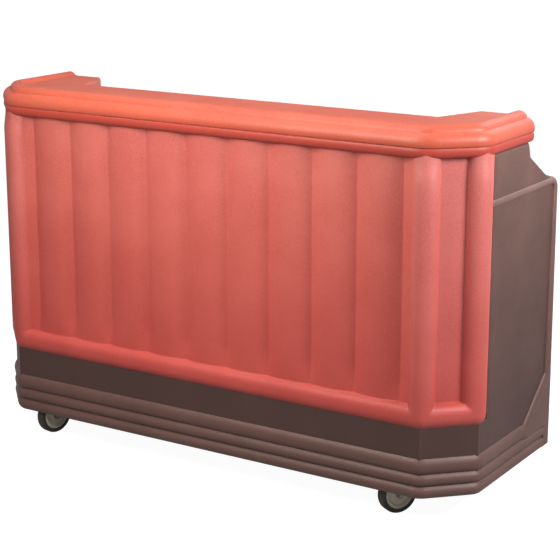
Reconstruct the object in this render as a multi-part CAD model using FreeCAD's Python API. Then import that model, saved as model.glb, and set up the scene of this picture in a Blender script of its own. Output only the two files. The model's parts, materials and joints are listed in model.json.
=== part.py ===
"""Portable bar on casters: a moulded brown body, a red pleated front and a U-shaped red top.

The frame stands on the floor under the middle of the bar. +X runs along the bar, to the right of
a guest who faces it, -Y points at the guest, and +Z points up. All lengths are in millimetres.
"""
import FreeCAD, Part
import math
import os

V = FreeCAD.Vector
UP = V(0, 0, 1)
ALONG_X = V(1, 0, 0)
ALONG_Y = V(0, 1, 0)

# Overall size
BAR_LENGTH = 1848.0
BAR_DEPTH = 660.0
BAR_HEIGHT = 1219.0
CORNER_LEG = 131.0
PROUD = 11.0

# Heights above the floor
BUMPER_BOTTOM = 91.0
BASE_TOP = 315.0
DECK_DROP = 135.0
TOP_THICKNESS = 94.0

# Fits
SEAM = 0.3
RUNNING = 0.05
DROP_IN = 1.5
OVERRUN = 5.0

# Base tray and cabinet floor
TRAY_WALL = 8.0
FLOOR_THICKNESS = 12.0
RIB_THICKNESS = 8.0
RIB_SHARES = (-0.6, -0.2, 0.2, 0.6)

# Bumper
LOWER_RIDGE = 38.0
TOP_RIDGE = 50.0
GROOVE_WEB = 3.0
LOWER_RIDGE_SETBACK = 38.0
TOP_RIDGE_SETBACK = 170.0
TAIL_BEAD_WIDTH = 38.0
TAIL_BEAD_SETBACK = 38.0
TAIL_RISE = 8.0

# Red front: posts, foot roll, pleats
POST_RADIUS = 40.0
PANEL_WALL = 6.0
PANE_DEPTH = 8.0
PLEAT_COUNT = 9
PLEAT_MARGIN = 70.2
PLEAT_SAGITTA = 13.0
BOSS_RADIUS = 9.0
BOSS_HEIGHT_SHARES = (0.25, 0.8)

# Walls of the cabinet
FRONT_WALL = 10.0
END_THICKNESS = 40.0
END_SKIN = 6.0
DIVIDER_THICKNESS = 24.0
DIVIDER_SETBACK = 30.0
LEDGE_WIDTH = 20.0
LEDGE_DEPTH = 18.0

# Raised beads and shoulder of the end panels
DECK_BEAD = 20.0
BACK_POST = 50.0
BEAD_PROUD = 8.0
SHOULDER_SETBACK = 225.0
SHOULDER_FOOT_SETBACK = 90.0
SHOULDER_FOOT_RISE = 18.0
SHOULDER_DROP = 42.0
SHOULDER_LEAN = 11.0
BACK_CORNER_RADIUS = 32.0

# Bar top
RIM_RISE = 13.0
RIM_RADIUS = 26.0
COVE_DEPTH = 18.0
COVE_INSET = 26.0
BULGE_DEPTH = 50.2
PARTING_RISE = 30.0
PARTING_INSET = 3.0
ROLL_INSET = 19.0
ROLL_BULGE_INSET = 7.0
ROLL_BULGE_RISE = 11.0
TOP_SKIN = 8.0
EDGE_WALL = 36.0
RUN_WIDTH = 280.0
WING_SETBACK = 215.0
WING_ROOT_WIDTH = 244.0
WING_TIP_WIDTH = 187.0
BACKER_THICKNESS = 10.0
RUN_BACK_RADIUS = 9.0

# Work deck
DECK_THICKNESS = 14.0
APRON_DROP = 60.0
APRON_RADIUS = 10.0

# Ice bin, cover and handle
BIN_DIVIDER_GAP = 48.0
BIN_WIDTH = 300.0
BIN_DEPTH = 300.0
BIN_END_GAP = 233.0
BIN_SETBACK = 195.0
BIN_WALL = 6.0
BIN_FLANGE = 20.0
BIN_CORNER = 20.0
COVER_THICKNESS = 12.0
COVER_LIP = 14.0
HANDLE_LENGTH = 150.0
HANDLE_RISE = 32.0
HANDLE_RADIUS = 7.0

# Drain and valve
DRAIN_RADIUS = 19.0
DRAIN_WALL = 4.0
DRAIN_FLANGE_RADIUS = 32.0
DRAIN_FLANGE = 3.0
DRAIN_NUT_RADIUS = 30.0
DRAIN_NUT_SIDES = 6
DRAIN_NUT = 10.0
DRAIN_LENGTH = 60.0
VALVE_RADIUS = 27.0
VALVE_LENGTH = 64.0
BALL_RADIUS = 19.0
STEM_RADIUS = 6.0
STEM_LENGTH = 14.0
OUTLET_RADIUS = 12.7
OUTLET_BORE = 9.5
OUTLET_LENGTH = 42.0
LEVER_LENGTH = 95.0
LEVER_WIDTH = 18.0
LEVER_THICKNESS = 5.0

# Bottle wells
WELL_END_GAP = 213.0
WELL_WIDTH = 200.0
WELL_DEPTH = 220.0
WELL_DIVIDER_GAP = 33.0
WELL_SPACING = 35.0
WELL_SETBACK = 250.0
WELL_WALL = 5.0
WELL_FLANGE = 15.0
WELL_CORNER = 25.0

# Shelf
SHELF_HEIGHT_SHARE = 0.34
SHELF_THICKNESS = 14.0
SHELF_SETBACK = 140.0
SHELF_LIP = 24.0

# Speed rail and hanger bar
HANGER_SIZE = 20.0
HANGER_SETBACK = 142.0
HANGER_DROP = 245.0
RAIL_LENGTH = 600.0
RAIL_DEPTH = 105.0
RAIL_HEIGHT = 130.0
RAIL_FRONT_HEIGHT = 75.0
RAIL_SHEET = 3.0
HOOK_WIDTH = 40.0
HOOK_SHARES = (-0.35, 0.35)

# Casters
WHEEL_RADIUS = 63.5
WHEEL_WIDTH = 32.0
HUB_WIDTH = 30.0
TYRE_THICKNESS = 15.0
TYRE_EDGE = 6.0
HUB_RECESS = 5.0
HUB_RIM = 9.0
HUB_BOSS_RADIUS = 17.0
AXLE_RADIUS = 5.0
AXLE_HEAD_RADIUS = 9.0
AXLE_HEAD = 5.0
TRAIL = 36.0
CASTER_HEIGHT = 157.0
CASTER_END_GAP = 224.0
CASTER_SETBACK = 118.0
PLATE_LENGTH = 104.0
PLATE_WIDTH = 84.0
PLATE_THICKNESS = 4.0
PLATE_BOLT_X = 80.0
PLATE_BOLT_Y = 60.0
RACE_RADIUS = 25.0
RACE_BORE = 12.0
RACE_HEIGHT = 11.7
KING_PIN_RADIUS = 6.0
KING_HEAD_RADIUS = 10.0
KING_HEAD = 6.0
CROWN_RADIUS = 30.0
CROWN_THICKNESS = 5.0
LEG_THICKNESS = 4.0
LEG_GAP = 3.5
LEG_TOP_HALF = 16.0
LEG_FOOT_RADIUS = 14.0
FRONT_RIGHT_ANGLE = -30.7
FRONT_LEFT_ANGLE = -13.0
BACK_RIGHT_ANGLE = 140.0
BACK_LEFT_ANGLE = 212.0

# Foot brakes of the back casters
BRAKE_PIVOT_BACK = 70.0
BRAKE_PIVOT_Z = 126.0
BRAKE_PIN_RADIUS = 3.0
BRAKE_EAR_RADIUS = 8.0
PEDAL_REACH = 42.0
PEDAL_FALL = 9.0
PEDAL_THICKNESS = 4.0
PEDAL_BOSS_RADIUS = 6.0

# Fasteners
BOLT_RADIUS = 4.0
BOLT_CLEARANCE = 0.5
BOLT_HEAD_RADIUS = 6.5
BOLT_HEAD = 5.0
NUT_HEIGHT = 6.5
SCREW_RADIUS = 2.5
SCREW_HEAD_RADIUS = 6.0
SCREW_HEAD = 2.5
SCREW_BITE = 9.0
BRACKET_SIZE = 40.0
BRACKET_WIDTH = 50.0
BRACKET_SHEET = 3.0
BRACKET_SHARES = (-0.75, -0.25, 0.25, 0.75)

# Worked out from the sizes above
FULL_TURN = math.degrees(2 * math.pi)
CORNER_TURN = math.tan(math.radians(45.0) / 2)
BODY_HALF = BAR_LENGTH / 2 - PROUD
BODY_FRONT = PROUD - BAR_DEPTH / 2
BODY_BACK = BAR_DEPTH / 2
TOP_UNDERSIDE = BAR_HEIGHT - TOP_THICKNESS
DECK_TOP = TOP_UNDERSIDE - DECK_DROP
LOWER_RIDGE_END = BODY_BACK - LOWER_RIDGE_SETBACK
TOP_RIDGE_END = BODY_BACK - TOP_RIDGE_SETBACK
TAIL_BEAD_TOP_Y = BODY_BACK - TAIL_BEAD_SETBACK
SHOULDER_BACK = BODY_BACK - SHOULDER_SETBACK
SHOULDER_FOOT_Y = BODY_BACK - SHOULDER_FOOT_SETBACK
RUN_BACK = RUN_WIDTH - BAR_DEPTH / 2
WING_BACK = BODY_BACK - WING_SETBACK
WING_ROOT_HALF = BAR_LENGTH / 2 - WING_ROOT_WIDTH
WING_TIP_HALF = BAR_LENGTH / 2 - WING_TIP_WIDTH
POST_INSET = POST_RADIUS - PROUD
POST_FRONT = (BODY_HALF - CORNER_LEG - POST_INSET * CORNER_TURN, BODY_FRONT + POST_INSET)
POST_END = (BODY_HALF - POST_INSET, BODY_FRONT + CORNER_LEG + POST_INSET * CORNER_TURN)
PLEAT_PITCH = 2 * (POST_FRONT[0] - PLEAT_MARGIN) / PLEAT_COUNT
ROLL_Z = BASE_TOP + math.sqrt(POST_RADIUS ** 2 - POST_INSET ** 2)
WALL_FACE = BODY_FRONT + POST_INSET
CABINET_FRONT = WALL_FACE + FRONT_WALL
END_FRONT = POST_END[1] + POST_RADIUS + SEAM
CABINET_HALF = BODY_HALF - END_THICKNESS
TRAY_BOTTOM = CASTER_HEIGHT
TRAY_FLOOR = TRAY_BOTTOM + TRAY_WALL
SURFACE = BAR_HEIGHT - RIM_RISE
DECK_UNDER = DECK_TOP - DECK_THICKNESS
HUB_RADIUS = WHEEL_RADIUS - TYRE_THICKNESS
BOLT_HOLE = BOLT_RADIUS + BOLT_CLEARANCE
BAY_LENGTH = CABINET_HALF - DIVIDER_THICKNESS / 2
BIN_LENGTH = BAY_LENGTH - BIN_END_GAP - BIN_DIVIDER_GAP
BIN_X = BIN_END_GAP + BIN_LENGTH / 2 - CABINET_HALF
BIN_Y = BODY_BACK - BIN_SETBACK
BIN_BOTTOM = DECK_TOP - BIN_DEPTH
DRAIN_END = BIN_BOTTOM - DRAIN_LENGTH
VALVE_Z = DRAIN_END - VALVE_LENGTH / 2
VALVE_END = DRAIN_END - VALVE_LENGTH
LEVER_Y = BIN_Y + VALVE_RADIUS + STEM_LENGTH
WELL_LENGTH = (BAY_LENGTH - WELL_END_GAP - WELL_DIVIDER_GAP - WELL_SPACING) / 2
LEFT_WELL_X = DIVIDER_THICKNESS / 2 + WELL_DIVIDER_GAP + WELL_LENGTH / 2
RIGHT_WELL_X = LEFT_WELL_X + WELL_LENGTH + WELL_SPACING
WELL_Y = BODY_BACK - WELL_SETBACK
SHELF_TOP = BASE_TOP + SHELF_HEIGHT_SHARE * (DECK_TOP - BASE_TOP)
SHELF_BACK = BODY_BACK - SHELF_SETBACK
HANGER_Y = BODY_BACK - HANGER_SETBACK
HANGER_Z = DECK_TOP - HANGER_DROP
CASTER_X = BODY_HALF - CASTER_END_GAP
CASTER_Y = BODY_BACK - CASTER_SETBACK
PLATE_UNDER = CASTER_HEIGHT - PLATE_THICKNESS
CROWN_TOP = PLATE_UNDER - RACE_HEIGHT - SEAM
CROWN_UNDER = CROWN_TOP - CROWN_THICKNESS
LEG_INNER = WHEEL_WIDTH / 2 + LEG_GAP
LEG_OUTER = LEG_INNER + LEG_THICKNESS


def box(x0, x1, y0, y1, z0, z1):
    """Block between two opposite corners."""
    return Part.makeBox(x1 - x0, y1 - y0, z1 - z0, V(x0, y0, z0))


def prism(points, z0, z1):
    """Upright block on a closed plan outline."""
    corners = [V(x, y, z0) for x, y in points]
    return Part.Face(Part.makePolygon(corners + corners[:1])).extrude(UP * (z1 - z0))


def bar_along_x(points, x0, x1):
    """Block along X on a closed outline of (y, z) points."""
    corners = [V(x0, y, z) for y, z in points]
    return Part.Face(Part.makePolygon(corners + corners[:1])).extrude(ALONG_X * (x1 - x0))


def rod(start, end, radius):
    """Round bar between two points."""
    return Part.makeCylinder(radius, (end - start).Length, start, end - start)


def tube(start, end, radius, bore):
    """Round bar between two points with a hole along it."""
    return rod(start, end, radius).cut(rod(start, end, bore))


def joined(shapes):
    """One solid from overlapping shapes."""
    return shapes[0].multiFuse(shapes[1:]).removeSplitter()


def mirrored(shape):
    """The same piece at the other end of the bar."""
    return shape.mirror(V(0, 0, 0), ALONG_X)


def save(name, shapes):
    """Write one node, a single shape or a group of separate ones."""
    group = shapes if isinstance(shapes, list) else [shapes]
    node = group[0] if len(group) == 1 else Part.makeCompound(group)
    node.exportStep(os.path.join("parts", name + ".step"))
    print(name, len(node.Solids), node.isValid(), round(node.Volume))


def plan(offset, back):
    """Plan outline of the body moved outwards by offset, from left back to right back."""
    half = BODY_HALF + offset
    front = BODY_FRONT - offset
    corner_x = BODY_HALF - CORNER_LEG + offset * CORNER_TURN
    corner_y = BODY_FRONT + CORNER_LEG - offset * CORNER_TURN
    return [(-half, back), (-half, corner_y), (-corner_x, front),
            (corner_x, front), (half, corner_y), (half, back)]


def swept(edges, back):
    """Carry a profile, drawn at the left back end, round the body with mitred corners."""
    path = Part.makePolygon([V(x, y, 0) for x, y in plan(0, back)])
    return path.makePipeShell([Part.Wire(edges)], True, False, 1)


def edge_point(outward, z, back):
    """A profile point: outward from the body plane, at a height, at the left back end."""
    return V(-BODY_HALF - outward, back, z)


def line(start, end):
    """Straight edge between two points."""
    return Part.LineSegment(start, end).toShape()


def arc(start, middle, end):
    """Round edge through three points."""
    return Part.Arc(start, middle, end).toShape()


def bead(start, along, across, height):
    """Rounded bead on the right end: start is its middle line's foot, across its half width."""
    low, high = start - across, start + across
    edges = [arc(low, start + ALONG_X * height, high), line(high, low)]
    return Part.Face(Part.Wire(edges)).extrude(along)


# Base: tray, cabinet floor and bumper

def base_tray():
    """Open tray under the cabinet: band, bottom and the ribs that carry the floor."""
    outer = prism(plan(0, BODY_BACK), TRAY_BOTTOM, BASE_TOP)
    hollow = prism(plan(-TRAY_WALL, BODY_BACK - TRAY_WALL), TRAY_FLOOR, BASE_TOP + OVERRUN)
    tray = outer.cut(hollow)
    rib_top = BASE_TOP - FLOOR_THICKNESS
    ribs = []
    for share in RIB_SHARES:
        x = share * BODY_HALF
        ribs.append(box(x - RIB_THICKNESS / 2, x + RIB_THICKNESS / 2, BODY_FRONT + TRAY_WALL / 2,
                        BODY_BACK - TRAY_WALL / 2, TRAY_BOTTOM, rib_top))
    tray = joined([tray] + ribs)
    for x, y in bolt_places():
        tray = tray.cut(rod(V(x, y, TRAY_BOTTOM - OVERRUN), V(x, y, TRAY_FLOOR + OVERRUN), BOLT_HOLE))
    return tray


def cabinet_floor():
    """Plate that drops into the tray, flush with its rim."""
    inset = TRAY_WALL + SEAM
    return prism(plan(-inset, BODY_BACK - inset), BASE_TOP - FLOOR_THICKNESS, BASE_TOP)


def ridge_profile(bottoms_and_tops, back):
    """Closed profile of half-round ridges, one above the other, on a thin web."""
    first = bottoms_and_tops[0][0]
    last = bottoms_and_tops[-1][1]
    edges = [line(edge_point(0, first, back), edge_point(GROOVE_WEB, first, back))]
    for bottom, top in bottoms_and_tops:
        crown = edge_point(PROUD, (bottom + top) / 2, back)
        edges.append(arc(edge_point(GROOVE_WEB, bottom, back), crown, edge_point(GROOVE_WEB, top, back)))
    edges.append(line(edge_point(GROOVE_WEB, last, back), edge_point(0, last, back)))
    edges.append(line(edge_point(0, last, back), edge_point(0, first, back)))
    return edges


def tail_bead(start, end):
    """The bumper's bead on the right end, from one (y, z) place up to another."""
    along = V(0, end[0] - start[0], end[1] - start[1])
    across = V(0, -along.z, along.y).normalize() * (TAIL_BEAD_WIDTH / 2)
    return bead(V(BODY_HALF, start[0], start[1]), along, across, PROUD)


def bumper():
    """Three ridges round the front and ends; the top one turns up at each back corner."""
    groove = BUMPER_BOTTOM + LOWER_RIDGE
    top_groove = groove + LOWER_RIDGE
    crown = top_groove + TOP_RIDGE
    lower_ridges = [(BUMPER_BOTTOM, groove), (groove, top_groove)]
    lower = swept(ridge_profile(lower_ridges, LOWER_RIDGE_END), LOWER_RIDGE_END)
    upper = swept(ridge_profile([(top_groove, crown)], TOP_RIDGE_END), TOP_RIDGE_END)
    start = (TOP_RIDGE_END - TAIL_BEAD_WIDTH / 2, top_groove + TAIL_BEAD_WIDTH / 2)
    rise = BASE_TOP + TAIL_BEAD_WIDTH - start[1]
    run = (TAIL_BEAD_TOP_Y - start[0]) * rise / (BASE_TOP - start[1])
    diagonal = tail_bead(start, (start[0] + run, start[1] + rise))
    flat = [start, (TAIL_BEAD_TOP_Y, BASE_TOP), (BODY_BACK, BASE_TOP), (BODY_BACK, BUMPER_BOTTOM),
            (LOWER_RIDGE_END - OVERRUN, BUMPER_BOTTOM), (LOWER_RIDGE_END - OVERRUN, top_groove),
            (start[0], top_groove)]
    tail = joined([diagonal, bar_along_x(flat, BODY_HALF, BODY_HALF + TAIL_RISE)])
    tail = tail.common(box(BODY_HALF, BODY_HALF + PROUD, TOP_RIDGE_END - TAIL_BEAD_WIDTH, BODY_BACK,
                           BUMPER_BOTTOM, BASE_TOP))
    ridges = joined([lower, upper])
    return joined([joined([ridges, tail]), mirrored(tail)])


# Red front: pleated panel and two corner panels

def pleat_y(x):
    """Plan line of the pleats: equal arcs that bulge towards the guest."""
    radius = ((PLEAT_PITCH / 2) ** 2 + PLEAT_SAGITTA ** 2) / (2 * PLEAT_SAGITTA)
    away = (x / PLEAT_PITCH + PLEAT_COUNT / 2) % 1.0 * PLEAT_PITCH - PLEAT_PITCH / 2
    return WALL_FACE - PANE_DEPTH - PLEAT_SAGITTA + radius - math.sqrt(radius ** 2 - away ** 2)


def pleated_block(half, shift, z0, z1):
    """Block between the wall face and the pleats, all moved back by shift."""
    valleys = [(index - PLEAT_COUNT / 2) * PLEAT_PITCH for index in range(PLEAT_COUNT + 1)]
    stops = [-half] + valleys + [half]
    points = [V(x, pleat_y(x) + shift, z0) for x in stops]
    edges = []
    for start, end in zip(points[:-1], points[1:]):
        middle = (start.x + end.x) / 2
        edges.append(arc(start, V(middle, pleat_y(middle) + shift, z0), end))
    right_back = V(half, WALL_FACE + shift, z0)
    left_back = V(-half, WALL_FACE + shift, z0)
    edges += [line(points[-1], right_back), line(right_back, left_back), line(left_back, points[0])]
    return Part.Face(Part.Wire(edges)).extrude(UP * (z1 - z0))


def boss_places():
    """Screw places of the front panel as (x, z), behind four crowns clear of the divider."""
    last = PLEAT_COUNT - 1
    pleats = (0, PLEAT_COUNT // 3, last - PLEAT_COUNT // 3, last)
    columns = [(index - last / 2) * PLEAT_PITCH for index in pleats]
    heights = [BASE_TOP + share * (TOP_UNDERSIDE - BASE_TOP) for share in BOSS_HEIGHT_SHARES]
    return [(x, z) for x in columns for z in heights]


def front_panel():
    """Pleated shell with a half-round roll along its foot, open at the back."""
    half = POST_FRONT[0] - POST_RADIUS - SEAM
    crown = WALL_FACE - PANE_DEPTH - PLEAT_SAGITTA
    roll = rod(V(-half, WALL_FACE, ROLL_Z), V(half, WALL_FACE, ROLL_Z), POST_RADIUS)
    panel = joined([pleated_block(POST_FRONT[0], 0, ROLL_Z, TOP_UNDERSIDE), roll])
    inner = half - PANEL_WALL
    hollow = joined([
        pleated_block(inner, PANEL_WALL, ROLL_Z, TOP_UNDERSIDE - PANEL_WALL),
        rod(V(-inner, WALL_FACE, ROLL_Z), V(inner, WALL_FACE, ROLL_Z), POST_RADIUS - PANEL_WALL)])
    hollow = hollow.cut(box(-half, half, BODY_FRONT - POST_RADIUS, BODY_BACK, 0, BASE_TOP + PANEL_WALL))
    panel = panel.cut(hollow)
    reach = crown + PANEL_WALL / 2
    bosses = [rod(V(x, WALL_FACE, z), V(x, reach, z), BOSS_RADIUS) for x, z in boss_places()]
    panel = joined([panel] + bosses)
    hole_end = WALL_FACE - SCREW_BITE - SEAM
    for x, z in boss_places():
        panel = panel.cut(rod(V(x, WALL_FACE, z), V(x, hole_end, z), SCREW_RADIUS + RUNNING))
    for side in (-1, 1):
        x, y = side * POST_FRONT[0], POST_FRONT[1]
        panel = panel.cut(rod(V(x, y, BASE_TOP), V(x, y, BAR_HEIGHT), POST_RADIUS + SEAM))
        panel = panel.cut(rod(V(side * half, y, ROLL_Z), V(x, y, ROLL_Z), POST_RADIUS + SEAM))
    return panel.cut(box(-BODY_HALF, BODY_HALF, WALL_FACE, BODY_BACK, 0, BAR_HEIGHT)).cut(
        box(-BODY_HALF, BODY_HALF, -BAR_DEPTH, BODY_BACK, 0, BASE_TOP))


def corner_frame(radius, stub_x, top):
    """Right-hand posts up to a height and foot roll from a place along X, as rounds of one radius."""
    front = V(POST_FRONT[0], POST_FRONT[1], ROLL_Z)
    end = V(POST_END[0], POST_END[1], ROLL_Z)
    stub = V(stub_x, POST_FRONT[1], ROLL_Z)
    return joined([
        rod(front, V(front.x, front.y, top), radius), rod(end, V(end.x, end.y, top), radius),
        rod(front, end, radius), rod(stub, front, radius),
        Part.makeSphere(radius, front), Part.makeSphere(radius, end)])


def corner_panel(top_block):
    """Right-hand corner: a flat pane between two posts, with the foot roll below."""
    lean = V(1, -1, 0).normalize() * PANE_DEPTH
    feet = [V(POST_FRONT[0], POST_FRONT[1], 0), V(POST_END[0], POST_END[1], 0)]
    pane_plan = [(p.x, p.y) for p in (feet[0], feet[0] + lean, feet[1] + lean, feet[1])]
    stub_x = POST_FRONT[0] - POST_RADIUS
    solid = corner_frame(POST_RADIUS, stub_x, TOP_UNDERSIDE + PARTING_RISE)
    hollow = corner_frame(POST_RADIUS - PANEL_WALL, stub_x + PANEL_WALL, TOP_UNDERSIDE - PANEL_WALL)
    panel = solid.cut(hollow)
    pane = prism(pane_plan, ROLL_Z, TOP_UNDERSIDE)
    for place in feet:
        pane = pane.cut(rod(place, place + UP * BAR_HEIGHT, POST_RADIUS - PANEL_WALL / 2))
    pane = pane.cut(rod(feet[0] + UP * ROLL_Z, feet[1] + UP * ROLL_Z, POST_RADIUS - PANEL_WALL / 2))
    panel = joined([panel, pane])
    panel = panel.cut(prism(plan(-POST_INSET, BODY_BACK), 0, BAR_HEIGHT))
    panel = panel.cut(box(0, BAR_LENGTH, -BAR_DEPTH, BAR_DEPTH, 0, BASE_TOP))
    return panel.cut(top_block)


# Cabinet: front wall, end panels, divider

def front_wall():
    """Wall behind the red front, bent round both corners."""
    inner = POST_INSET + FRONT_WALL
    wall = prism(plan(-POST_INSET, END_FRONT), BASE_TOP, TOP_UNDERSIDE)
    wall = wall.cut(prism(plan(-inner, END_FRONT + OVERRUN), 0, BAR_HEIGHT))
    for x, z in boss_places():
        wall = wall.cut(rod(V(x, WALL_FACE - OVERRUN, z), V(x, CABINET_FRONT + OVERRUN, z),
                            SCREW_RADIUS + BOLT_CLEARANCE))
    for x in bracket_places():
        z = TOP_UNDERSIDE - BRACKET_SIZE / 2
        wall = wall.cut(rod(V(x, CABINET_FRONT - SCREW_BITE + SEAM, z), V(x, CABINET_FRONT + OVERRUN, z),
                            SCREW_RADIUS + RUNNING))
    return wall


def end_outline(x0, x1):
    """Side outline of an end panel, from x0 to x1: tall at the front, stepping down to the deck."""
    radius = BACK_CORNER_RADIUS
    slant = radius * math.sqrt(1 / 2)
    places = [(BODY_BACK - radius, DECK_TOP), (SHOULDER_FOOT_Y, DECK_TOP + SHOULDER_FOOT_RISE),
              (SHOULDER_BACK + SHOULDER_LEAN, TOP_UNDERSIDE - SHOULDER_DROP),
              (SHOULDER_BACK, TOP_UNDERSIDE), (END_FRONT, TOP_UNDERSIDE), (END_FRONT, BASE_TOP),
              (BODY_BACK, BASE_TOP), (BODY_BACK, DECK_TOP - radius)]
    points = [V(x0, y, z) for y, z in places]
    round_middle = V(x0, BODY_BACK - radius + slant, DECK_TOP - radius + slant)
    edges = [line(start, end) for start, end in zip(points[:-1], points[1:])]
    edges.append(arc(points[-1], round_middle, points[0]))
    return Part.Face(Part.Wire(edges)).extrude(ALONG_X * (x1 - x0))


def end_panel():
    """Right-hand end wall: double-skinned, with ledges inside and raised beads outside."""
    panel = end_outline(CABINET_HALF, BODY_HALF)
    inner_x = (CABINET_HALF + END_SKIN, BODY_HALF - END_SKIN)
    front = END_FRONT + END_SKIN
    low = box(*inner_x, front, BODY_BACK - END_SKIN, BASE_TOP - OVERRUN, DECK_UNDER)
    high = box(*inner_x, front, SHOULDER_BACK - END_SKIN, BASE_TOP, TOP_UNDERSIDE - END_SKIN)
    panel = panel.cut(low).cut(high)
    deck_bead = bead(V(BODY_HALF, END_FRONT, DECK_TOP), ALONG_Y * (BODY_BACK - END_FRONT),
                     UP * (DECK_BEAD / 2), BEAD_PROUD)
    back_post = bead(V(BODY_HALF, BODY_BACK - BACK_POST / 2, BASE_TOP), UP * (DECK_TOP - BASE_TOP),
                     ALONG_Y * (BACK_POST / 2), BEAD_PROUD)
    beads = joined([deck_bead, back_post]).common(end_outline(BODY_HALF, BODY_HALF + PROUD))
    ledges = []
    for top in (DECK_UNDER, SHELF_TOP - SHELF_THICKNESS - SEAM):
        ledges.append(box(CABINET_HALF - LEDGE_WIDTH, CABINET_HALF + END_SKIN, END_FRONT,
                          BODY_BACK - DECK_THICKNESS - SEAM, top - LEDGE_DEPTH, top))
    return joined([panel, beads] + ledges)


def divider():
    """Upright wall between the ice side and the bottle side, with the shelf's other ledge."""
    half = DIVIDER_THICKNESS / 2
    back = BODY_BACK - DIVIDER_SETBACK
    wall = box(-half, half, CABINET_FRONT, back, BASE_TOP, DECK_UNDER)
    ledge_top = SHELF_TOP - SHELF_THICKNESS - SEAM
    ledge = box(0, half + LEDGE_WIDTH, CABINET_FRONT, back, ledge_top - LEDGE_DEPTH, ledge_top)
    return joined([wall, ledge])


# Bar top

def top_outline(offset, inset):
    """U-shaped plan of the top: outer line moved by offset, inner and back lines drawn in by inset."""
    tip_half = WING_TIP_HALF + inset
    root_half = WING_ROOT_HALF + inset
    back = WING_BACK - inset
    run = RUN_BACK - inset
    return plan(offset, back) + [(tip_half, back), (root_half, run), (-root_half, run), (-tip_half, back)]


def top_block():
    """The top as a full block: flat surface, raised rim, bullnose edge and the roll under it."""
    crest = PROUD - COVE_INSET - math.sqrt(2 * RIM_RADIUS * COVE_DEPTH - COVE_DEPTH ** 2)
    flat = crest - math.sqrt(2 * RIM_RADIUS * RIM_RISE - RIM_RISE ** 2)
    back = WING_BACK
    inner_foot = edge_point(flat, TOP_UNDERSIDE, back)
    roll_foot = edge_point(PROUD - ROLL_INSET, TOP_UNDERSIDE, back)
    roll_bulge = edge_point(PROUD - ROLL_BULGE_INSET, TOP_UNDERSIDE + ROLL_BULGE_RISE, back)
    parting = edge_point(PROUD - PARTING_INSET, TOP_UNDERSIDE + PARTING_RISE, back)
    bulge = edge_point(PROUD, BAR_HEIGHT - BULGE_DEPTH, back)
    cove = edge_point(PROUD - COVE_INSET, BAR_HEIGHT - COVE_DEPTH, back)
    rim = edge_point(crest, BAR_HEIGHT, back)
    rim_foot = edge_point(flat, SURFACE, back)
    edge = swept([line(inner_foot, roll_foot), arc(roll_foot, roll_bulge, parting),
                  arc(parting, bulge, cove), arc(cove, rim, rim_foot), line(rim_foot, inner_foot)], back)
    slab = prism(top_outline(crest, 0), TOP_UNDERSIDE, SURFACE)
    radius = RUN_BACK_RADIUS
    nose = rod(V(-WING_TIP_HALF, RUN_BACK - radius, SURFACE - radius),
               V(WING_TIP_HALF, RUN_BACK - radius, SURFACE - radius), radius)
    corner = box(-WING_ROOT_HALF, WING_ROOT_HALF, RUN_BACK - radius, RUN_BACK, SURFACE - radius, SURFACE)
    return joined([edge, slab]).cut(corner.cut(nose))


def bar_top(block):
    """The top hollowed from below."""
    hollow = prism(top_outline(PROUD - EDGE_WALL, TOP_SKIN), TOP_UNDERSIDE - OVERRUN, SURFACE - TOP_SKIN)
    return block.cut(hollow)


def bar_top_backer():
    """Board that closes the underside of the top and takes its screws."""
    board = prism(top_outline(PROUD - EDGE_WALL - SEAM, TOP_SKIN + SEAM), TOP_UNDERSIDE,
                  TOP_UNDERSIDE + BACKER_THICKNESS)
    for x in bracket_places():
        y = CABINET_FRONT + BRACKET_SIZE / 2
        board = board.cut(rod(V(x, y, TOP_UNDERSIDE - OVERRUN),
                              V(x, y, TOP_UNDERSIDE + SCREW_BITE), SCREW_RADIUS + RUNNING))
    return board


def bracket_places():
    """Places along the front wall where an angle bracket holds the top."""
    return [share * POST_FRONT[0] for share in BRACKET_SHARES]


def top_brackets():
    """Steel angles in the corner of the front wall and the backing board."""
    brackets = []
    for x in bracket_places():
        x0, x1 = x - BRACKET_WIDTH / 2, x + BRACKET_WIDTH / 2
        upright = box(x0, x1, CABINET_FRONT, CABINET_FRONT + BRACKET_SHEET,
                      TOP_UNDERSIDE - BRACKET_SIZE, TOP_UNDERSIDE)
        level = box(x0, x1, CABINET_FRONT, CABINET_FRONT + BRACKET_SIZE,
                    TOP_UNDERSIDE - BRACKET_SHEET, TOP_UNDERSIDE)
        bracket = joined([upright, level])
        for screw in bracket_screw_lines(x):
            bracket = bracket.cut(rod(screw[0], screw[2], SCREW_RADIUS + BOLT_CLEARANCE))
        brackets.append(bracket)
    return brackets


def bracket_screw_lines(x):
    """Head top, seat and tip of the two screws of one bracket."""
    half = BRACKET_SIZE / 2
    y, z = CABINET_FRONT + half, TOP_UNDERSIDE - half
    under = TOP_UNDERSIDE - BRACKET_SHEET
    face = CABINET_FRONT + BRACKET_SHEET
    bite = SCREW_BITE - SEAM
    return [(V(x, y, under - SCREW_HEAD), V(x, y, under), V(x, y, TOP_UNDERSIDE + bite)),
            (V(x, face + SCREW_HEAD, z), V(x, face, z), V(x, CABINET_FRONT - bite + SEAM, z))]


def screw(head_top, seat, tip):
    """Pan-head screw."""
    return joined([rod(head_top, seat, SCREW_HEAD_RADIUS), rod(seat, tip, SCREW_RADIUS)])


def bracket_screws():
    """The screws of all the brackets."""
    return [screw(*places) for x in bracket_places() for places in bracket_screw_lines(x)]


def panel_screws():
    """Screws through the front wall into the front panel's bosses."""
    head, tip = CABINET_FRONT + SCREW_HEAD, WALL_FACE - SCREW_BITE
    return [screw(V(x, head, z), V(x, CABINET_FRONT, z), V(x, tip, z)) for x, z in boss_places()]


# Work deck and what hangs in it

def around(x, y, length, width):
    """Sides of a rectangle as left, right, front and back."""
    return x - length / 2, x + length / 2, y - width / 2, y + width / 2


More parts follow.
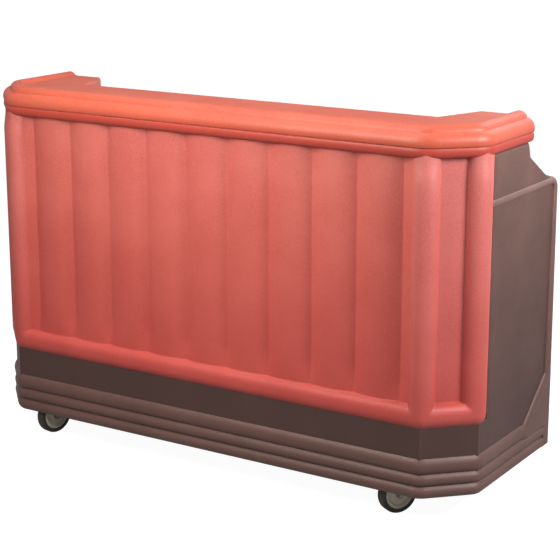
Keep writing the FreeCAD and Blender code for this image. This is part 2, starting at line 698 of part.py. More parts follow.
def rounded_block(x, y, length, width, radius, z0, z1):
    """Upright block with round corners, centred on x, y."""
    half_x, half_y = length / 2 - radius, width / 2 - radius
    slabs = [box(x - length / 2, x + length / 2, y - half_y, y + half_y, z0, z1),
             box(x - half_x, x + half_x, y - width / 2, y + width / 2, z0, z1)]
    for cx in (x - half_x, x + half_x):
        for cy in (y - half_y, y + half_y):
            slabs.append(rod(V(cx, cy, z0), V(cx, cy, z1), radius))
    return joined(slabs)


def tub(x, y, length, width, depth, wall, flange, corner):
    """Drop-in tub whose flange rests on the deck; length and width are the deck's cut-out."""
    bottom = DECK_TOP - depth
    rim = DECK_TOP + wall

    def block(margin, z0, z1):
        """The cut-out's shape moved outwards by margin."""
        return rounded_block(x, y, length + 2 * margin, width + 2 * margin, corner + margin, z0, z1)

    outer = block(-DROP_IN, bottom, rim)
    lip = block(flange, DECK_TOP + SEAM, rim)
    hollow = block(-DROP_IN - wall, bottom + wall, rim + OVERRUN)
    return joined([outer, lip]).cut(hollow)


def deck_bay(left, right, holes):
    """Plan rectangles of the boards round a row of cut-outs of equal depth, from one side to the other."""
    front, back = holes[0][2], holes[0][3]
    apron = BODY_BACK - DECK_THICKNESS
    boards = [(left, right, -BAR_DEPTH, front), (left, right, back, apron)]
    starts = [left] + [hole[1] for hole in holes]
    ends = [hole[0] for hole in holes] + [right]
    return boards + [(start, end, front, back) for start, end in zip(starts, ends)]


def work_deck():
    """Deck of boards, welded edge to edge round the bin and the wells, with an apron along the back."""
    half = CABINET_HALF - SEAM
    sheet = prism(plan(-(POST_INSET + FRONT_WALL + SEAM), BODY_BACK), DECK_UNDER, DECK_TOP)
    bin_hole = around(BIN_X, BIN_Y, BIN_LENGTH, BIN_WIDTH)
    well_holes = [around(x, WELL_Y, WELL_LENGTH, WELL_WIDTH) for x in (LEFT_WELL_X, RIGHT_WELL_X)]
    weld = (bin_hole[1] + well_holes[0][0]) / 2
    plans = deck_bay(-half, weld, [bin_hole]) + deck_bay(weld, half, well_holes)
    boards = [sheet.common(box(*sides, 0, BAR_HEIGHT)) for sides in plans]
    apron = box(-half, half, BODY_BACK - DECK_THICKNESS, BODY_BACK, DECK_TOP - APRON_DROP, DECK_TOP)
    y, z, radius = BODY_BACK - APRON_RADIUS, DECK_TOP - APRON_RADIUS, APRON_RADIUS
    corner = box(-half, half, y, BODY_BACK, z, DECK_TOP).cut(rod(V(-half, y, z), V(half, y, z), radius))
    return Part.makeCompound(boards + [apron.cut(corner)])


def ice_bin():
    """Ice tub with a drain hole in the middle of its floor; it is bedded on the deck."""
    shell = tub(BIN_X, BIN_Y, BIN_LENGTH, BIN_WIDTH, BIN_DEPTH, BIN_WALL, BIN_FLANGE, BIN_CORNER)
    return shell.cut(rod(on_drain(BIN_BOTTOM - OVERRUN), on_drain(BIN_BOTTOM + BIN_WALL + OVERRUN),
                         DRAIN_RADIUS + RUNNING))


def ice_bin_cover():
    """Lift-off cover with a lip that drops into the bin."""
    under = DECK_TOP + BIN_WALL + SEAM
    plate = rounded_block(BIN_X, BIN_Y, BIN_LENGTH + 2 * BIN_FLANGE, BIN_WIDTH + 2 * BIN_FLANGE,
                          BIN_CORNER + BIN_FLANGE, under, under + COVER_THICKNESS)
    gap = 2 * (2 * DROP_IN + BIN_WALL)
    corner = BIN_CORNER - gap / 2
    foot = under - COVER_LIP
    lip = rounded_block(BIN_X, BIN_Y, BIN_LENGTH - gap, BIN_WIDTH - gap, corner, foot, under)
    inner = gap + 2 * BIN_WALL
    hollow = rounded_block(BIN_X, BIN_Y, BIN_LENGTH - inner, BIN_WIDTH - inner, corner - BIN_WALL,
                           foot - OVERRUN, under)
    return joined([plate, lip.cut(hollow)])


def cover_handle():
    """Bail on the cover: a bar on two legs with round elbows."""
    foot = DECK_TOP + BIN_WALL + SEAM + COVER_THICKNESS
    top = foot + HANDLE_RISE
    half = HANDLE_LENGTH / 2
    pieces = [rod(V(BIN_X - half, BIN_Y, top), V(BIN_X + half, BIN_Y, top), HANDLE_RADIUS)]
    for x in (BIN_X - half, BIN_X + half):
        pieces.append(rod(V(x, BIN_Y, foot), V(x, BIN_Y, top), HANDLE_RADIUS))
        pieces.append(Part.makeSphere(HANDLE_RADIUS, V(x, BIN_Y, top)))
    return joined(pieces)


def bottle_well(x):
    """Lift-out well for bottles."""
    return tub(x, WELL_Y, WELL_LENGTH, WELL_WIDTH, WELL_DEPTH, WELL_WALL, WELL_FLANGE, WELL_CORNER)


# Drain under the ice bin

def on_drain(z):
    """Point on the drain's axis."""
    return V(BIN_X, BIN_Y, z)


def drain_fitting():
    """Flanged tail through the bin's floor."""
    seat = BIN_BOTTOM + BIN_WALL
    tail = joined([rod(on_drain(DRAIN_END), on_drain(seat + DRAIN_FLANGE), DRAIN_RADIUS),
                   rod(on_drain(seat), on_drain(seat + DRAIN_FLANGE), DRAIN_FLANGE_RADIUS)])
    bore = DRAIN_RADIUS - DRAIN_WALL
    return tail.cut(rod(on_drain(DRAIN_END - OVERRUN), on_drain(seat + OVERRUN), bore))


def drain_nut():
    """Six-sided lock nut under the bin."""
    turns = [2 * math.pi * side / DRAIN_NUT_SIDES for side in range(DRAIN_NUT_SIDES)]
    corners = [(BIN_X + DRAIN_NUT_RADIUS * math.cos(turn), BIN_Y + DRAIN_NUT_RADIUS * math.sin(turn))
               for turn in turns]
    nut = prism(corners, BIN_BOTTOM - DRAIN_NUT, BIN_BOTTOM)
    return nut.cut(rod(on_drain(BIN_BOTTOM - DRAIN_NUT - OVERRUN), on_drain(BIN_BOTTOM + OVERRUN),
                       DRAIN_RADIUS + RUNNING))


def drain_valve():
    """Ball valve body with a round chamber and a gland for the stem."""
    gland_end = V(BIN_X, LEVER_Y - LEVER_THICKNESS, VALVE_Z)
    body = joined([rod(on_drain(VALVE_END), on_drain(DRAIN_END), VALVE_RADIUS),
                   rod(on_drain(VALVE_Z), gland_end, 2 * STEM_RADIUS)])
    body = body.cut(rod(on_drain(VALVE_END - OVERRUN), on_drain(DRAIN_END + OVERRUN), OUTLET_BORE))
    body = body.cut(Part.makeSphere(BALL_RADIUS + SEAM, on_drain(VALVE_Z)))
    return body.cut(rod(on_drain(VALVE_Z), V(BIN_X, LEVER_Y + OVERRUN, VALVE_Z), STEM_RADIUS + RUNNING))


def valve_ball():
    """Bored ball on its stem; the bore lies across the drain while the valve is shut."""
    ball = joined([Part.makeSphere(BALL_RADIUS, on_drain(VALVE_Z)),
                   rod(on_drain(VALVE_Z), V(BIN_X, LEVER_Y, VALVE_Z), STEM_RADIUS)])
    reach = ALONG_X * BALL_RADIUS
    return ball.cut(rod(on_drain(VALVE_Z) - reach, on_drain(VALVE_Z) + reach, OUTLET_BORE))


def valve_lever():
    """Quarter-turn lever on the stem's end."""
    y0, y1 = LEVER_Y, LEVER_Y + LEVER_THICKNESS
    half = LEVER_WIDTH / 2
    tip = BIN_X + LEVER_LENGTH
    return joined([rod(V(BIN_X, y0, VALVE_Z), V(BIN_X, y1, VALVE_Z), half),
                   box(BIN_X, tip, y0, y1, VALVE_Z - half, VALVE_Z + half),
                   rod(V(tip, y0, VALVE_Z), V(tip, y1, VALVE_Z), half)])


def drain_spout():
    """Hose tail under the valve."""
    return tube(on_drain(VALVE_END - OUTLET_LENGTH), on_drain(VALVE_END), OUTLET_RADIUS, OUTLET_BORE)


# Bottle side: shelf, hanger bar, speed rail

def shelf():
    """Shelf on the two ledges, cut to the bent wall, with an upstand along the back."""
    x0, x1 = DIVIDER_THICKNESS / 2 + SEAM, CABINET_HALF - SEAM
    bottom = SHELF_TOP - SHELF_THICKNESS
    plate = box(x0, x1, CABINET_FRONT + SCREW_HEAD + SEAM, SHELF_BACK, bottom, SHELF_TOP)
    plate = plate.common(prism(plan(-(POST_INSET + FRONT_WALL + DROP_IN), BODY_BACK), bottom, SHELF_TOP))
    lip = box(x0, x1, SHELF_BACK - SHELF_THICKNESS, SHELF_BACK, bottom, SHELF_TOP + SHELF_LIP)
    return joined([plate, lip])


def hanger_bar():
    """Square bar between the divider and the right end."""
    return box(DIVIDER_THICKNESS / 2, CABINET_HALF, HANGER_Y, HANGER_Y + HANGER_SIZE,
               HANGER_Z, HANGER_Z + HANGER_SIZE)


def speed_rail():
    """Sheet trough for bottles, hooked over the hanger bar."""
    middle = (DIVIDER_THICKNESS / 2 + CABINET_HALF) / 2
    x0, x1 = middle - RAIL_LENGTH / 2, middle + RAIL_LENGTH / 2
    y0 = HANGER_Y + HANGER_SIZE + SEAM
    y1 = y0 + RAIL_DEPTH
    top = HANGER_Z + HANGER_SIZE + SEAM
    z0 = top - RAIL_HEIGHT
    lip = z0 + RAIL_FRONT_HEIGHT
    trough = box(x0, x1, y0, y1, z0, lip)
    trough = trough.cut(box(x0 + RAIL_SHEET, x1 - RAIL_SHEET, y0 + RAIL_SHEET, y1 - RAIL_SHEET,
                            z0 + RAIL_SHEET, lip + OVERRUN))
    pieces = [trough, box(x0, x1, y0, y0 + RAIL_SHEET, z0, top + RAIL_SHEET)]
    for share in HOOK_SHARES:
        x = middle + share * RAIL_LENGTH
        hook_x = (x - HOOK_WIDTH / 2, x + HOOK_WIDTH / 2)
        behind = HANGER_Y - SEAM - RAIL_SHEET
        pieces.append(box(*hook_x, behind, y0 + RAIL_SHEET, top, top + RAIL_SHEET))
        pieces.append(box(*hook_x, behind, behind + RAIL_SHEET, top - HANGER_SIZE, top + RAIL_SHEET))
    return joined(pieces)


# Casters, drawn with the swivel axis on Z and the wheel trailing towards -Y

CASTERS = {
    "front_left": (-CASTER_X, -CASTER_Y, FRONT_LEFT_ANGLE, False),
    "front_right": (CASTER_X, -CASTER_Y, FRONT_RIGHT_ANGLE, False),
    "back_left": (-CASTER_X, CASTER_Y, BACK_LEFT_ANGLE, True),
    "back_right": (CASTER_X, CASTER_Y, BACK_RIGHT_ANGLE, True),
}


def bolt_offsets():
    """Bolt places of one plate, from the swivel axis."""
    return [(sx * PLATE_BOLT_X / 2, sy * PLATE_BOLT_Y / 2) for sx in (-1, 1) for sy in (-1, 1)]


def bolt_places():
    """Bolt places of all four plates."""
    return [(x + dx, y + dy) for x, y, turn, braked in CASTERS.values() for dx, dy in bolt_offsets()]


def cross_rod(x0, x1, radius, back, z):
    """Round bar across the caster, parallel to its axle."""
    return rod(V(x0, -back, z), V(x1, -back, z), radius)


def axle_rod(x0, x1, radius):
    """Round bar on the wheel's axis."""
    return cross_rod(x0, x1, radius, TRAIL, WHEEL_RADIUS)


def caster_plate():
    """Bolting plate with the upper race pressed on its underside."""
    half_x, half_y = PLATE_LENGTH / 2, PLATE_WIDTH / 2
    plate = box(-half_x, half_x, -half_y, half_y, PLATE_UNDER, CASTER_HEIGHT)
    for x, y in bolt_offsets():
        plate = plate.cut(rod(V(x, y, PLATE_UNDER), V(x, y, CASTER_HEIGHT), BOLT_HOLE))
    race = tube(V(0, 0, PLATE_UNDER - RACE_HEIGHT), V(0, 0, PLATE_UNDER), RACE_RADIUS, RACE_BORE)
    return joined([plate, race])


def king_pin():
    """Pin that the yoke swivels on, with a head under the crown."""
    head_top = CROWN_UNDER - SEAM
    return joined([rod(V(0, 0, head_top), V(0, 0, PLATE_UNDER), KING_PIN_RADIUS),
                   rod(V(0, 0, head_top - KING_HEAD), V(0, 0, head_top), KING_HEAD_RADIUS)])


def yoke(braked):
    """Crown and two legs; a braked yoke also has two ears and the pedal's pin."""
    outline = [(LEG_TOP_HALF, CROWN_TOP), (-LEG_TOP_HALF, CROWN_TOP),
               (-TRAIL - LEG_FOOT_RADIUS, WHEEL_RADIUS), (-TRAIL + LEG_FOOT_RADIUS, WHEEL_RADIUS)]
    ear = [(LEG_TOP_HALF, CROWN_TOP), (-BRAKE_PIVOT_BACK, BRAKE_PIVOT_Z + BRAKE_EAR_RADIUS),
           (-BRAKE_PIVOT_BACK, BRAKE_PIVOT_Z - BRAKE_EAR_RADIUS), (0, BRAKE_PIVOT_Z - BRAKE_EAR_RADIUS)]
    pieces = [rod(V(0, 0, CROWN_UNDER), V(0, 0, CROWN_TOP), CROWN_RADIUS)]
    for x0, x1 in ((-LEG_OUTER, -LEG_INNER), (LEG_INNER, LEG_OUTER)):
        pieces.append(bar_along_x(outline, x0, x1))
        pieces.append(axle_rod(x0, x1, LEG_FOOT_RADIUS))
        if braked:
            pieces.append(bar_along_x(ear, x0, x1))
            pieces.append(cross_rod(x0, x1, BRAKE_EAR_RADIUS, BRAKE_PIVOT_BACK, BRAKE_PIVOT_Z))
    if braked:
        pieces.append(cross_rod(-LEG_OUTER, LEG_OUTER, BRAKE_PIN_RADIUS, BRAKE_PIVOT_BACK, BRAKE_PIVOT_Z))
    shape = joined(pieces)
    shape = shape.cut(rod(V(0, 0, CROWN_UNDER), V(0, 0, CROWN_TOP), KING_PIN_RADIUS + RUNNING))
    return shape.cut(axle_rod(-LEG_OUTER, LEG_OUTER, AXLE_RADIUS + RUNNING))


def axle():
    """Axle bolt with a head and a nut outside the legs."""
    tip = LEG_OUTER + AXLE_HEAD
    return joined([axle_rod(-tip, tip, AXLE_RADIUS), axle_rod(-tip, -LEG_OUTER, AXLE_HEAD_RADIUS),
                   axle_rod(LEG_OUTER, tip, AXLE_HEAD_RADIUS)])


def hub():
    """Wheel centre: a web between a rim and a boss, bored for the axle."""
    half = HUB_WIDTH / 2
    core = axle_rod(-half, half, HUB_RADIUS)
    for x0, x1 in ((-half, -half + HUB_RECESS), (half - HUB_RECESS, half)):
        groove = axle_rod(x0, x1, HUB_RADIUS - HUB_RIM)
        core = core.cut(groove.cut(axle_rod(x0, x1, HUB_BOSS_RADIUS)))
    return core.cut(axle_rod(-half, half, AXLE_RADIUS + RUNNING))


def tyre():
    """Rubber tread with rounded shoulders on the hub."""
    half, inner, slant = WHEEL_WIDTH / 2, HUB_RADIUS + RUNNING, TYRE_EDGE * (1 - math.sqrt(1 / 2))

    def spot(x, radius):
        """Point of the tyre's section, above the axle."""
        return V(x, -TRAIL, WHEEL_RADIUS + radius)

    inside = [spot(side * half, inner) for side in (-1, 1)]
    side_top = [spot(side * half, WHEEL_RADIUS - TYRE_EDGE) for side in (-1, 1)]
    middle = [spot(side * (half - slant), WHEEL_RADIUS - slant) for side in (-1, 1)]
    crown = [spot(side * (half - TYRE_EDGE), WHEEL_RADIUS) for side in (-1, 1)]
    section = Part.Wire([line(inside[0], side_top[0]), arc(side_top[0], middle[0], crown[0]),
                         line(crown[0], crown[1]), arc(crown[1], middle[1], side_top[1]),
                         line(side_top[1], inside[1]), line(inside[1], inside[0])])
    return Part.Face(section).revolve(spot(0, 0), ALONG_X, FULL_TURN)


def brake_pedal():
    """Foot pedal that turns on the pin behind the wheel."""
    half = LEG_INNER - SEAM
    z, back, thick = BRAKE_PIVOT_Z, BRAKE_PIVOT_BACK, PEDAL_THICKNESS / 2
    tip_back, tip_z = back + PEDAL_REACH, z - PEDAL_FALL
    outline = [(-back, z + thick), (-tip_back, tip_z + thick), (-tip_back, tip_z - thick), (-back, z - thick)]
    pedal = joined([bar_along_x(outline, -half, half), cross_rod(-half, half, PEDAL_BOSS_RADIUS, back, z),
                    cross_rod(-half, half, PEDAL_THICKNESS, tip_back, tip_z)])
    return pedal.cut(cross_rod(-half, half, BRAKE_PIN_RADIUS + RUNNING, back, z))


def placed(shape, x, y, turn):
    """Turn a caster piece about its swivel axis and set it under the bar."""
    copy = shape.copy()
    copy.rotate(V(0, 0, 0), UP, turn)
    copy.translate(V(x, y, 0))
    return copy


def caster_bolts():
    """Bolts up through the plates and the tray's bottom."""
    tip = TRAY_FLOOR + NUT_HEIGHT
    return [joined([rod(V(x, y, PLATE_UNDER - BOLT_HEAD), V(x, y, PLATE_UNDER), BOLT_HEAD_RADIUS),
                    rod(V(x, y, PLATE_UNDER), V(x, y, tip), BOLT_RADIUS)]) for x, y in bolt_places()]


def caster_nuts():
    """Nuts on those bolts, inside the tray."""
    top = TRAY_FLOOR + NUT_HEIGHT
    bore = BOLT_RADIUS + RUNNING
    return [tube(V(x, y, TRAY_FLOOR), V(x, y, top), BOLT_HEAD_RADIUS, bore) for x, y in bolt_places()]


def save_casters():
    """Write the pieces of the four casters and their bolts."""
    for place, (x, y, turn, braked) in CASTERS.items():
        save("caster_plate_" + place, placed(caster_plate(), x, y, 0))
        save("king_pin_" + place, placed(king_pin(), x, y, 0))
        save("yoke_" + place, placed(yoke(braked), x, y, turn))
        save("axle_" + place, placed(axle(), x, y, turn))
        save("hub_" + place, placed(hub(), x, y, turn))
        save("tyre_" + place, placed(tyre(), x, y, turn))
        if braked:
            save("brake_pedal_" + place, placed(brake_pedal(), x, y, turn))
    save("caster_bolts", caster_bolts())
    save("caster_nuts", caster_nuts())


def main():
    """Write every node of the bar."""
    os.makedirs("parts", exist_ok=True)
    block = top_block()
    save("bar_top", bar_top(block))
    save("bar_top_backer", bar_top_backer())
    save("top_brackets", top_brackets())
    save("bracket_screws", bracket_screws())
    save("front_panel", front_panel())
    corner = corner_panel(block)
    save("corner_panel_right", corner)
    save("corner_panel_left", mirrored(corner))
    save("panel_screws", panel_screws())
    save("base_tray", base_tray())
    save("cabinet_floor", cabinet_floor())
    save("bumper", bumper())
    save("front_wall", front_wall())
    end = end_panel()
    save("end_panel_right", end)
    save("end_panel_left", mirrored(end))
    save("divider", divider())
    save("work_deck", work_deck())
    save("ice_bin", ice_bin())
    save("ice_bin_cover", ice_bin_cover())
    save("cover_handle", cover_handle())
    save("drain_fitting", drain_fitting())
    save("drain_nut", drain_nut())
    save("drain_valve", drain_valve())
    save("valve_ball", valve_ball())
    save("valve_lever", valve_lever())
    save("drain_spout", drain_spout())
    save("bottle_well_left", bottle_well(LEFT_WELL_X))
    save("bottle_well_right", bottle_well(RIGHT_WELL_X))
    save("shelf", shelf())
    save("hanger_bar", hanger_bar())
    save("speed_rail", speed_rail())
    save_casters()


main()
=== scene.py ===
# %% [markdown]
# A portable bar, dressed in Blender. The frame comes from CAD: every solid already stands in its
# place, in metres, with X along the bar, -Y towards the guest and Z up. This lesson keeps the solids
# that look right, gives them finishes, and lays softer moulded skins where the real bar is rounded.

# %% Load the frame
import json
import math

import bpy
import numpy as np
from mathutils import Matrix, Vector


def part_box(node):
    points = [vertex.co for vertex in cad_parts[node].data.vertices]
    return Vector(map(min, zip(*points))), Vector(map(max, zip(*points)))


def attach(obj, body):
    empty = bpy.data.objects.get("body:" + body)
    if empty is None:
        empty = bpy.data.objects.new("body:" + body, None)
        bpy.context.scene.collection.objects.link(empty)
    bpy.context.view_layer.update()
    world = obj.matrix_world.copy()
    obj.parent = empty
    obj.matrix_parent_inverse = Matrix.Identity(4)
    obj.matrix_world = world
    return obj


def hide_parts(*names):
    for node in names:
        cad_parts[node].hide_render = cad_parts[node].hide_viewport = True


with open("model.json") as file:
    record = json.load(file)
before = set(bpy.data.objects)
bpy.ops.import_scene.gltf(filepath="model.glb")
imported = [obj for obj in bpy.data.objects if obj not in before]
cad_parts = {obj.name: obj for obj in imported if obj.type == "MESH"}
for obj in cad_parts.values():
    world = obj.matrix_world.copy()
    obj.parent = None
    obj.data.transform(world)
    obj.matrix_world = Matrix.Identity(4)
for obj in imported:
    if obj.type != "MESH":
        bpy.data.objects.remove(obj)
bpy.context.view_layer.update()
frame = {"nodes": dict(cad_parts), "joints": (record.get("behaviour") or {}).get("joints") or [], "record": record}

# %% [markdown]
# A few helpers carry all the finishes. Colours are written as sRGB hex, as they are read off a swatch,
# and Blender wants linear light, so one function converts them. Another adds one shader node with its
# settings, fixed values and links, which keeps each finish readable as a short list.

# %% Colour and node helpers
MM = 0.001


def linear(code):
    """sRGB hex to linear RGBA: each channel is divided by 12.92 when dark, else raised to 2.4."""
    srgb = np.array([int(code[i:i + 2], 16) for i in (1, 3, 5)]) / 255
    light = np.where(srgb <= 0.04045, srgb / 12.92, ((srgb + 0.055) / 1.055) ** 2.4)
    return (*light.tolist(), 1.0)


def add(tree, kind, values=(), links=(), **settings):
    """One shader node: settings are its properties, values its unlinked inputs, links its linked ones."""
    node = tree.nodes.new("ShaderNode" + kind)
    for name, value in settings.items():
        setattr(node, name, value)
    for name, value in dict(values).items():
        node.inputs[name].default_value = value
    for name, socket in dict(links).items():
        tree.links.new(socket, node.inputs[name])
    return node


def finish(name):
    """A new material, its node tree, its shader, and the object coordinates that its patterns sit on."""
    material = bpy.data.materials.new(name)
    material.use_nodes = True
    tree = material.node_tree
    place = add(tree, "TexCoord").outputs["Object"]
    return material, tree, tree.nodes["Principled BSDF"], place


print("helpers ready; a mid red in linear light is", [round(c, 3) for c in linear("#C0453C")])

# %% [markdown]
# Most of the bar is rotomoulded polyethylene. Powder melts against a sand-blasted mould, so the skin is
# satin with a fine pebble, and the colour drifts a little where the wall is thicker. A painted image could
# carry this, but it would need unwrapping, so noises on the object's own coordinates make it instead: one
# at the size of the pebble drives the bump, and a slow one shifts the colour and the gloss. A mix by height
# paints the skin paler towards the top: painted sheen and light on the upper parts, and on the bar top
# painted shade on the roll under the bullnose. A Bevel node finds the edges, which are painted pale,
# partly as wear from knocks and partly as a painted highlight where they catch the light.

# %% Moulded polyethylene
DRIFT_MM, PEBBLE_RISE_MM, EDGE_MM = 180.0, 1.0, 2.0
# Painted light: the share of the paler top colour, then the share and paleness of the edges, painted as wear and
# as highlight.
TOP_LIT_SHARE, EDGE_WEAR_AND_LIGHT_SHARE, EDGE_WEAR_AND_LIGHT_PALE = 0.85, 0.2, 0.4
THICK_STARTS, THICK_FULL, THICK_SHARE = 0.12, 0.4, 0.45  # where the noises' product darkens the skin
SMOOTHER, ROUGHER = 0.05, 0.07
# The pale edges are partly wear and partly a painted highlight.
EDGE_STARTS, EDGE_FULL = 0.98, 0.80  # cosines of the turn at which wear starts and is full
POLYETHYLENE_IOR = 1.51
MIX_SHARE, MIX_A, MIX_B, MIX_OUT = 0, 6, 7, 2  # places of a Mix node's colour sockets


def moulded(name, colour, thick_colour, roughness, pebble_mm, pebble_depth, specular=0.4,
            top_lit_colour=None, lit_from=0.3, lit_to=1.15):
    """Rotomoulded skin: two close colours mixed by noises, pebble bump, uneven satin gloss, pale edges.

    A paler second colour is mixed in by degrees between two heights, in metres: painted light above, painted shade
    below.
    """
    material, tree, shader, place = finish(name)
    drift = add(tree, "TexNoise", {"Scale": 1 / (DRIFT_MM * MM), "Detail": 3.0}, {"Vector": place})
    pebble = add(tree, "TexNoise", {"Scale": 1 / (pebble_mm * MM), "Detail": 2.0, "Roughness": 0.6},
                 {"Vector": place})
    height = add(tree, "SeparateXYZ", (), {0: place}).outputs["Z"]
    # Painted light and shade: the colour turns to the paler one with height, for sheen on upper parts and shade on
    # the bar top's roll.
    painted_light_by_height = add(tree, "MapRange", {"From Min": lit_from, "From Max": lit_to, "To Max": TOP_LIT_SHARE},
                 {"Value": height})
    colour_by_height = add(tree, "Mix", {MIX_A: linear(colour), MIX_B: linear(top_lit_colour or colour)},
                {MIX_SHARE: painted_light_by_height.outputs[0]}, data_type="RGBA")
    both = add(tree, "Math", (), {0: drift.outputs["Fac"], 1: pebble.outputs["Fac"]}, operation="MULTIPLY")
    thick = add(tree, "MapRange", {"From Min": THICK_STARTS, "From Max": THICK_FULL, "To Max": THICK_SHARE},
                {"Value": both.outputs[0]})
    mix = add(tree, "Mix", {MIX_B: linear(thick_colour)},
              {MIX_SHARE: thick.outputs[0], MIX_A: colour_by_height.outputs[MIX_OUT]}, data_type="RGBA")
    rounded = add(tree, "Bevel", {"Radius": EDGE_MM * MM}, samples=4).outputs[0]
    facing = add(tree, "NewGeometry").outputs["True Normal"]
    turned_by = add(tree, "VectorMath", (), {0: rounded, 1: facing}, operation="DOT_PRODUCT")
    edge = add(tree, "MapRange", {"From Min": EDGE_STARTS, "From Max": EDGE_FULL, "To Max": EDGE_WEAR_AND_LIGHT_SHARE},
               {"Value": turned_by.outputs["Value"]})
    # Edges painted paler: partly wear from knocks, partly a painted highlight where the rounded edge catches the
    # light.
    rubbed_and_highlit = [(1 - EDGE_WEAR_AND_LIGHT_PALE) * c + EDGE_WEAR_AND_LIGHT_PALE for c in linear(colour)]
    wear_and_highlight = add(tree, "Mix", {MIX_B: rubbed_and_highlit}, {MIX_SHARE: edge.outputs[0], MIX_A: mix.outputs[MIX_OUT]},
               data_type="RGBA")
    gloss = add(tree, "MapRange", {"To Min": roughness - SMOOTHER, "To Max": roughness + ROUGHER},
                {"Value": drift.outputs["Fac"]})
    bump = add(tree, "Bump", {"Strength": pebble_depth, "Distance": PEBBLE_RISE_MM * MM},
               {"Height": pebble.outputs["Fac"], "Normal": rounded})
    tree.links.new(wear_and_highlight.outputs[MIX_OUT], shader.inputs["Base Color"])
    tree.links.new(gloss.outputs[0], shader.inputs["Roughness"])
    tree.links.new(bump.outputs["Normal"], shader.inputs["Normal"])
    shader.inputs["IOR"].default_value = POLYETHYLENE_IOR
    shader.inputs["Specular IOR Level"].default_value = specular
    return material


# The edges are painted pale, partly as wear and partly as painted highlight.
print("moulded skin: colour drifts over", DRIFT_MM, "mm, edges are worn over", EDGE_MM, "mm")

# %% [markdown]
# One recipe now gives every moulded finish, from two colours, a gloss and a pebble. The real pebble is
# about 1 mm, too fine for the picture, so it is drawn at 5 mm, at 6 mm and shallow where the skin is
# smooth, and at 3 mm on the small nut. A recipe for each part would say the same thing many times over.

# %% Moulded finishes
# The pleated front: satin red with a clear pebble, painted paler towards the top as painted sheen and light.
red_panel = moulded("red_polyethylene_pebbled", "#C6504A", "#AE3B35", 0.54, 5.0, 0.2, specular=0.5,
                    top_lit_colour="#D2766D")
# The corner panels: the same red, a little glossier, and painted paler still towards the top as painted sheen of
# the light from the right.
red_corner = moulded("red_polyethylene_painted_sheen", "#C2504A", "#AC3E38", 0.52, 5.0, 0.2, specular=0.6,
                     top_lit_colour="#D37D77")
# The bar top: smooth satin, orange above its parting line, and painted a deeper red on the roll below as painted
# shade under the bullnose.
red_top = moulded("red_polyethylene_satin", "#B4473C", "#A83C32", 0.43, 6.0, 0.04,
                  top_lit_colour="#CC664E", lit_from=1.150, lit_to=1.164)
# The base, end panels and cabinet: dark brown with a pebble, painted paler towards the top as painted sheen.
brown_body = moulded("brown_polyethylene_pebbled", "#4A2F2A", "#33201C", 0.48, 5.0, 0.2, specular=0.6,
                     top_lit_colour="#78574F")
# The bumper and the framing beads: the same brown, scuffed pale because they take the knocks, and painted paler
# towards the top as painted sheen.
brown_scuffed_and_sheened = moulded("brown_polyethylene_scuffed_sheened", "#684A44", "#4C332E", 0.5, 5.0, 0.2, specular=0.6,
                        top_lit_colour="#8C6E68")
# The ice bin, its cover and the wells: pale grey and wiped smooth.
grey_liner = moulded("grey_polyethylene_satin", "#B2B1AB", "#A5A49E", 0.45, 6.0, 0.05)
# The wheel hubs: cream-grey nylon from a polished mould, the glossiest of the plastics.
hub_plastic = moulded("grey_nylon_moulded", "#E2DCCB", "#D4CEBD", 0.38, 6.0, 0.05)
# The drain's nut: black nylon with a fine dull grain.
black_nylon = moulded("black_nylon_moulded", "#1E1D1C", "#161515", 0.45, 3.0, 0.1)
print("moulded finishes:", red_panel.name, red_top.name, brown_body.name, brown_scuffed_and_sheened.name)

# %% [markdown]
# The hardware is bare metal. Sheet steel is brushed along one direction, so its noise is stretched, zinc
# plating shows a dull, even mottle, and turned brass has rings. An anisotropic shader could give brushing
# too, but it needs tangents on every CAD mesh, so the grain is put into the gloss and the bump. Real brush
# and lathe marks are 0.1 or 0.2 mm wide, too fine to show, so they are drawn at 2.5 mm, and the mottle at 5.

# %% Metals
STREAK_SMOOTHER, STREAK_ROUGHER = 0.1, 0.12
STREAK_DEPTH, STREAK_RISE_MM = 0.06, 0.3


def metal(name, colour, roughness, grain_mm, stretch):
    """Bare metal: a noise stretched along one axis makes the brushing in its gloss and its bump."""
    material, tree, shader, place = finish(name)
    turn = add(tree, "Mapping", {"Scale": stretch}, {"Vector": place})
    grain = add(tree, "TexNoise", {"Scale": 1 / (grain_mm * MM), "Detail": 4.0}, {"Vector": turn.outputs[0]})
    gloss = add(tree, "MapRange", {"To Min": roughness - STREAK_SMOOTHER, "To Max": roughness + STREAK_ROUGHER},
                {"Value": grain.outputs["Fac"]})
    bump = add(tree, "Bump", {"Strength": STREAK_DEPTH, "Distance": STREAK_RISE_MM * MM},
               {"Height": grain.outputs["Fac"]})
    tree.links.new(gloss.outputs[0], shader.inputs["Roughness"])
    tree.links.new(bump.outputs["Normal"], shader.inputs["Normal"])
    shader.inputs["Base Color"].default_value = linear(colour)
    shader.inputs["Metallic"].default_value = 1.0
    return material


# Speed rail, hanger bar and handle: bright, with long streaks along the bar.
stainless = metal("stainless_steel_brushed", "#C8C8C6", 0.32, 2.5, (0.05, 1.0, 1.0))
# Casters, brackets and screws: grey plating that has gone dull in use.
zinc_steel = metal("zinc_plated_steel", "#85827A", 0.45, 5.0, (1.0, 1.0, 1.0))
# Drain valve: warm and shiny, with the lathe's marks.
brass = metal("brass_turned", "#C2A262", 0.30, 2.5, (1.0, 1.0, 0.1))
print("metals:", stainless.name, zinc_steel.name, brass.name)

# %% [markdown]
# Tyres, pedals and the valve's lever have a skin of rubber, paint or vinyl. Dust settles on all three, so
# one colour is flecked with a pale grey by a noise, and the same noise lifts a low bump. Each could have a
# grain and a dust of its own, but they are small in the picture, and one noise serves for both. Powder
# coat's peel and the dust are about 1 mm, too fine to show, so the flecks are drawn at 3 to 12 mm.

# %% Rubber and coatings
DUST, DUST_SHARE = "#8F8A82", 0.25
FLECK_STARTS, FLECK_FULL, FLECK_SHARE, FLECK_RISE_MM = 0.45, 0.75, 0.6, 0.5


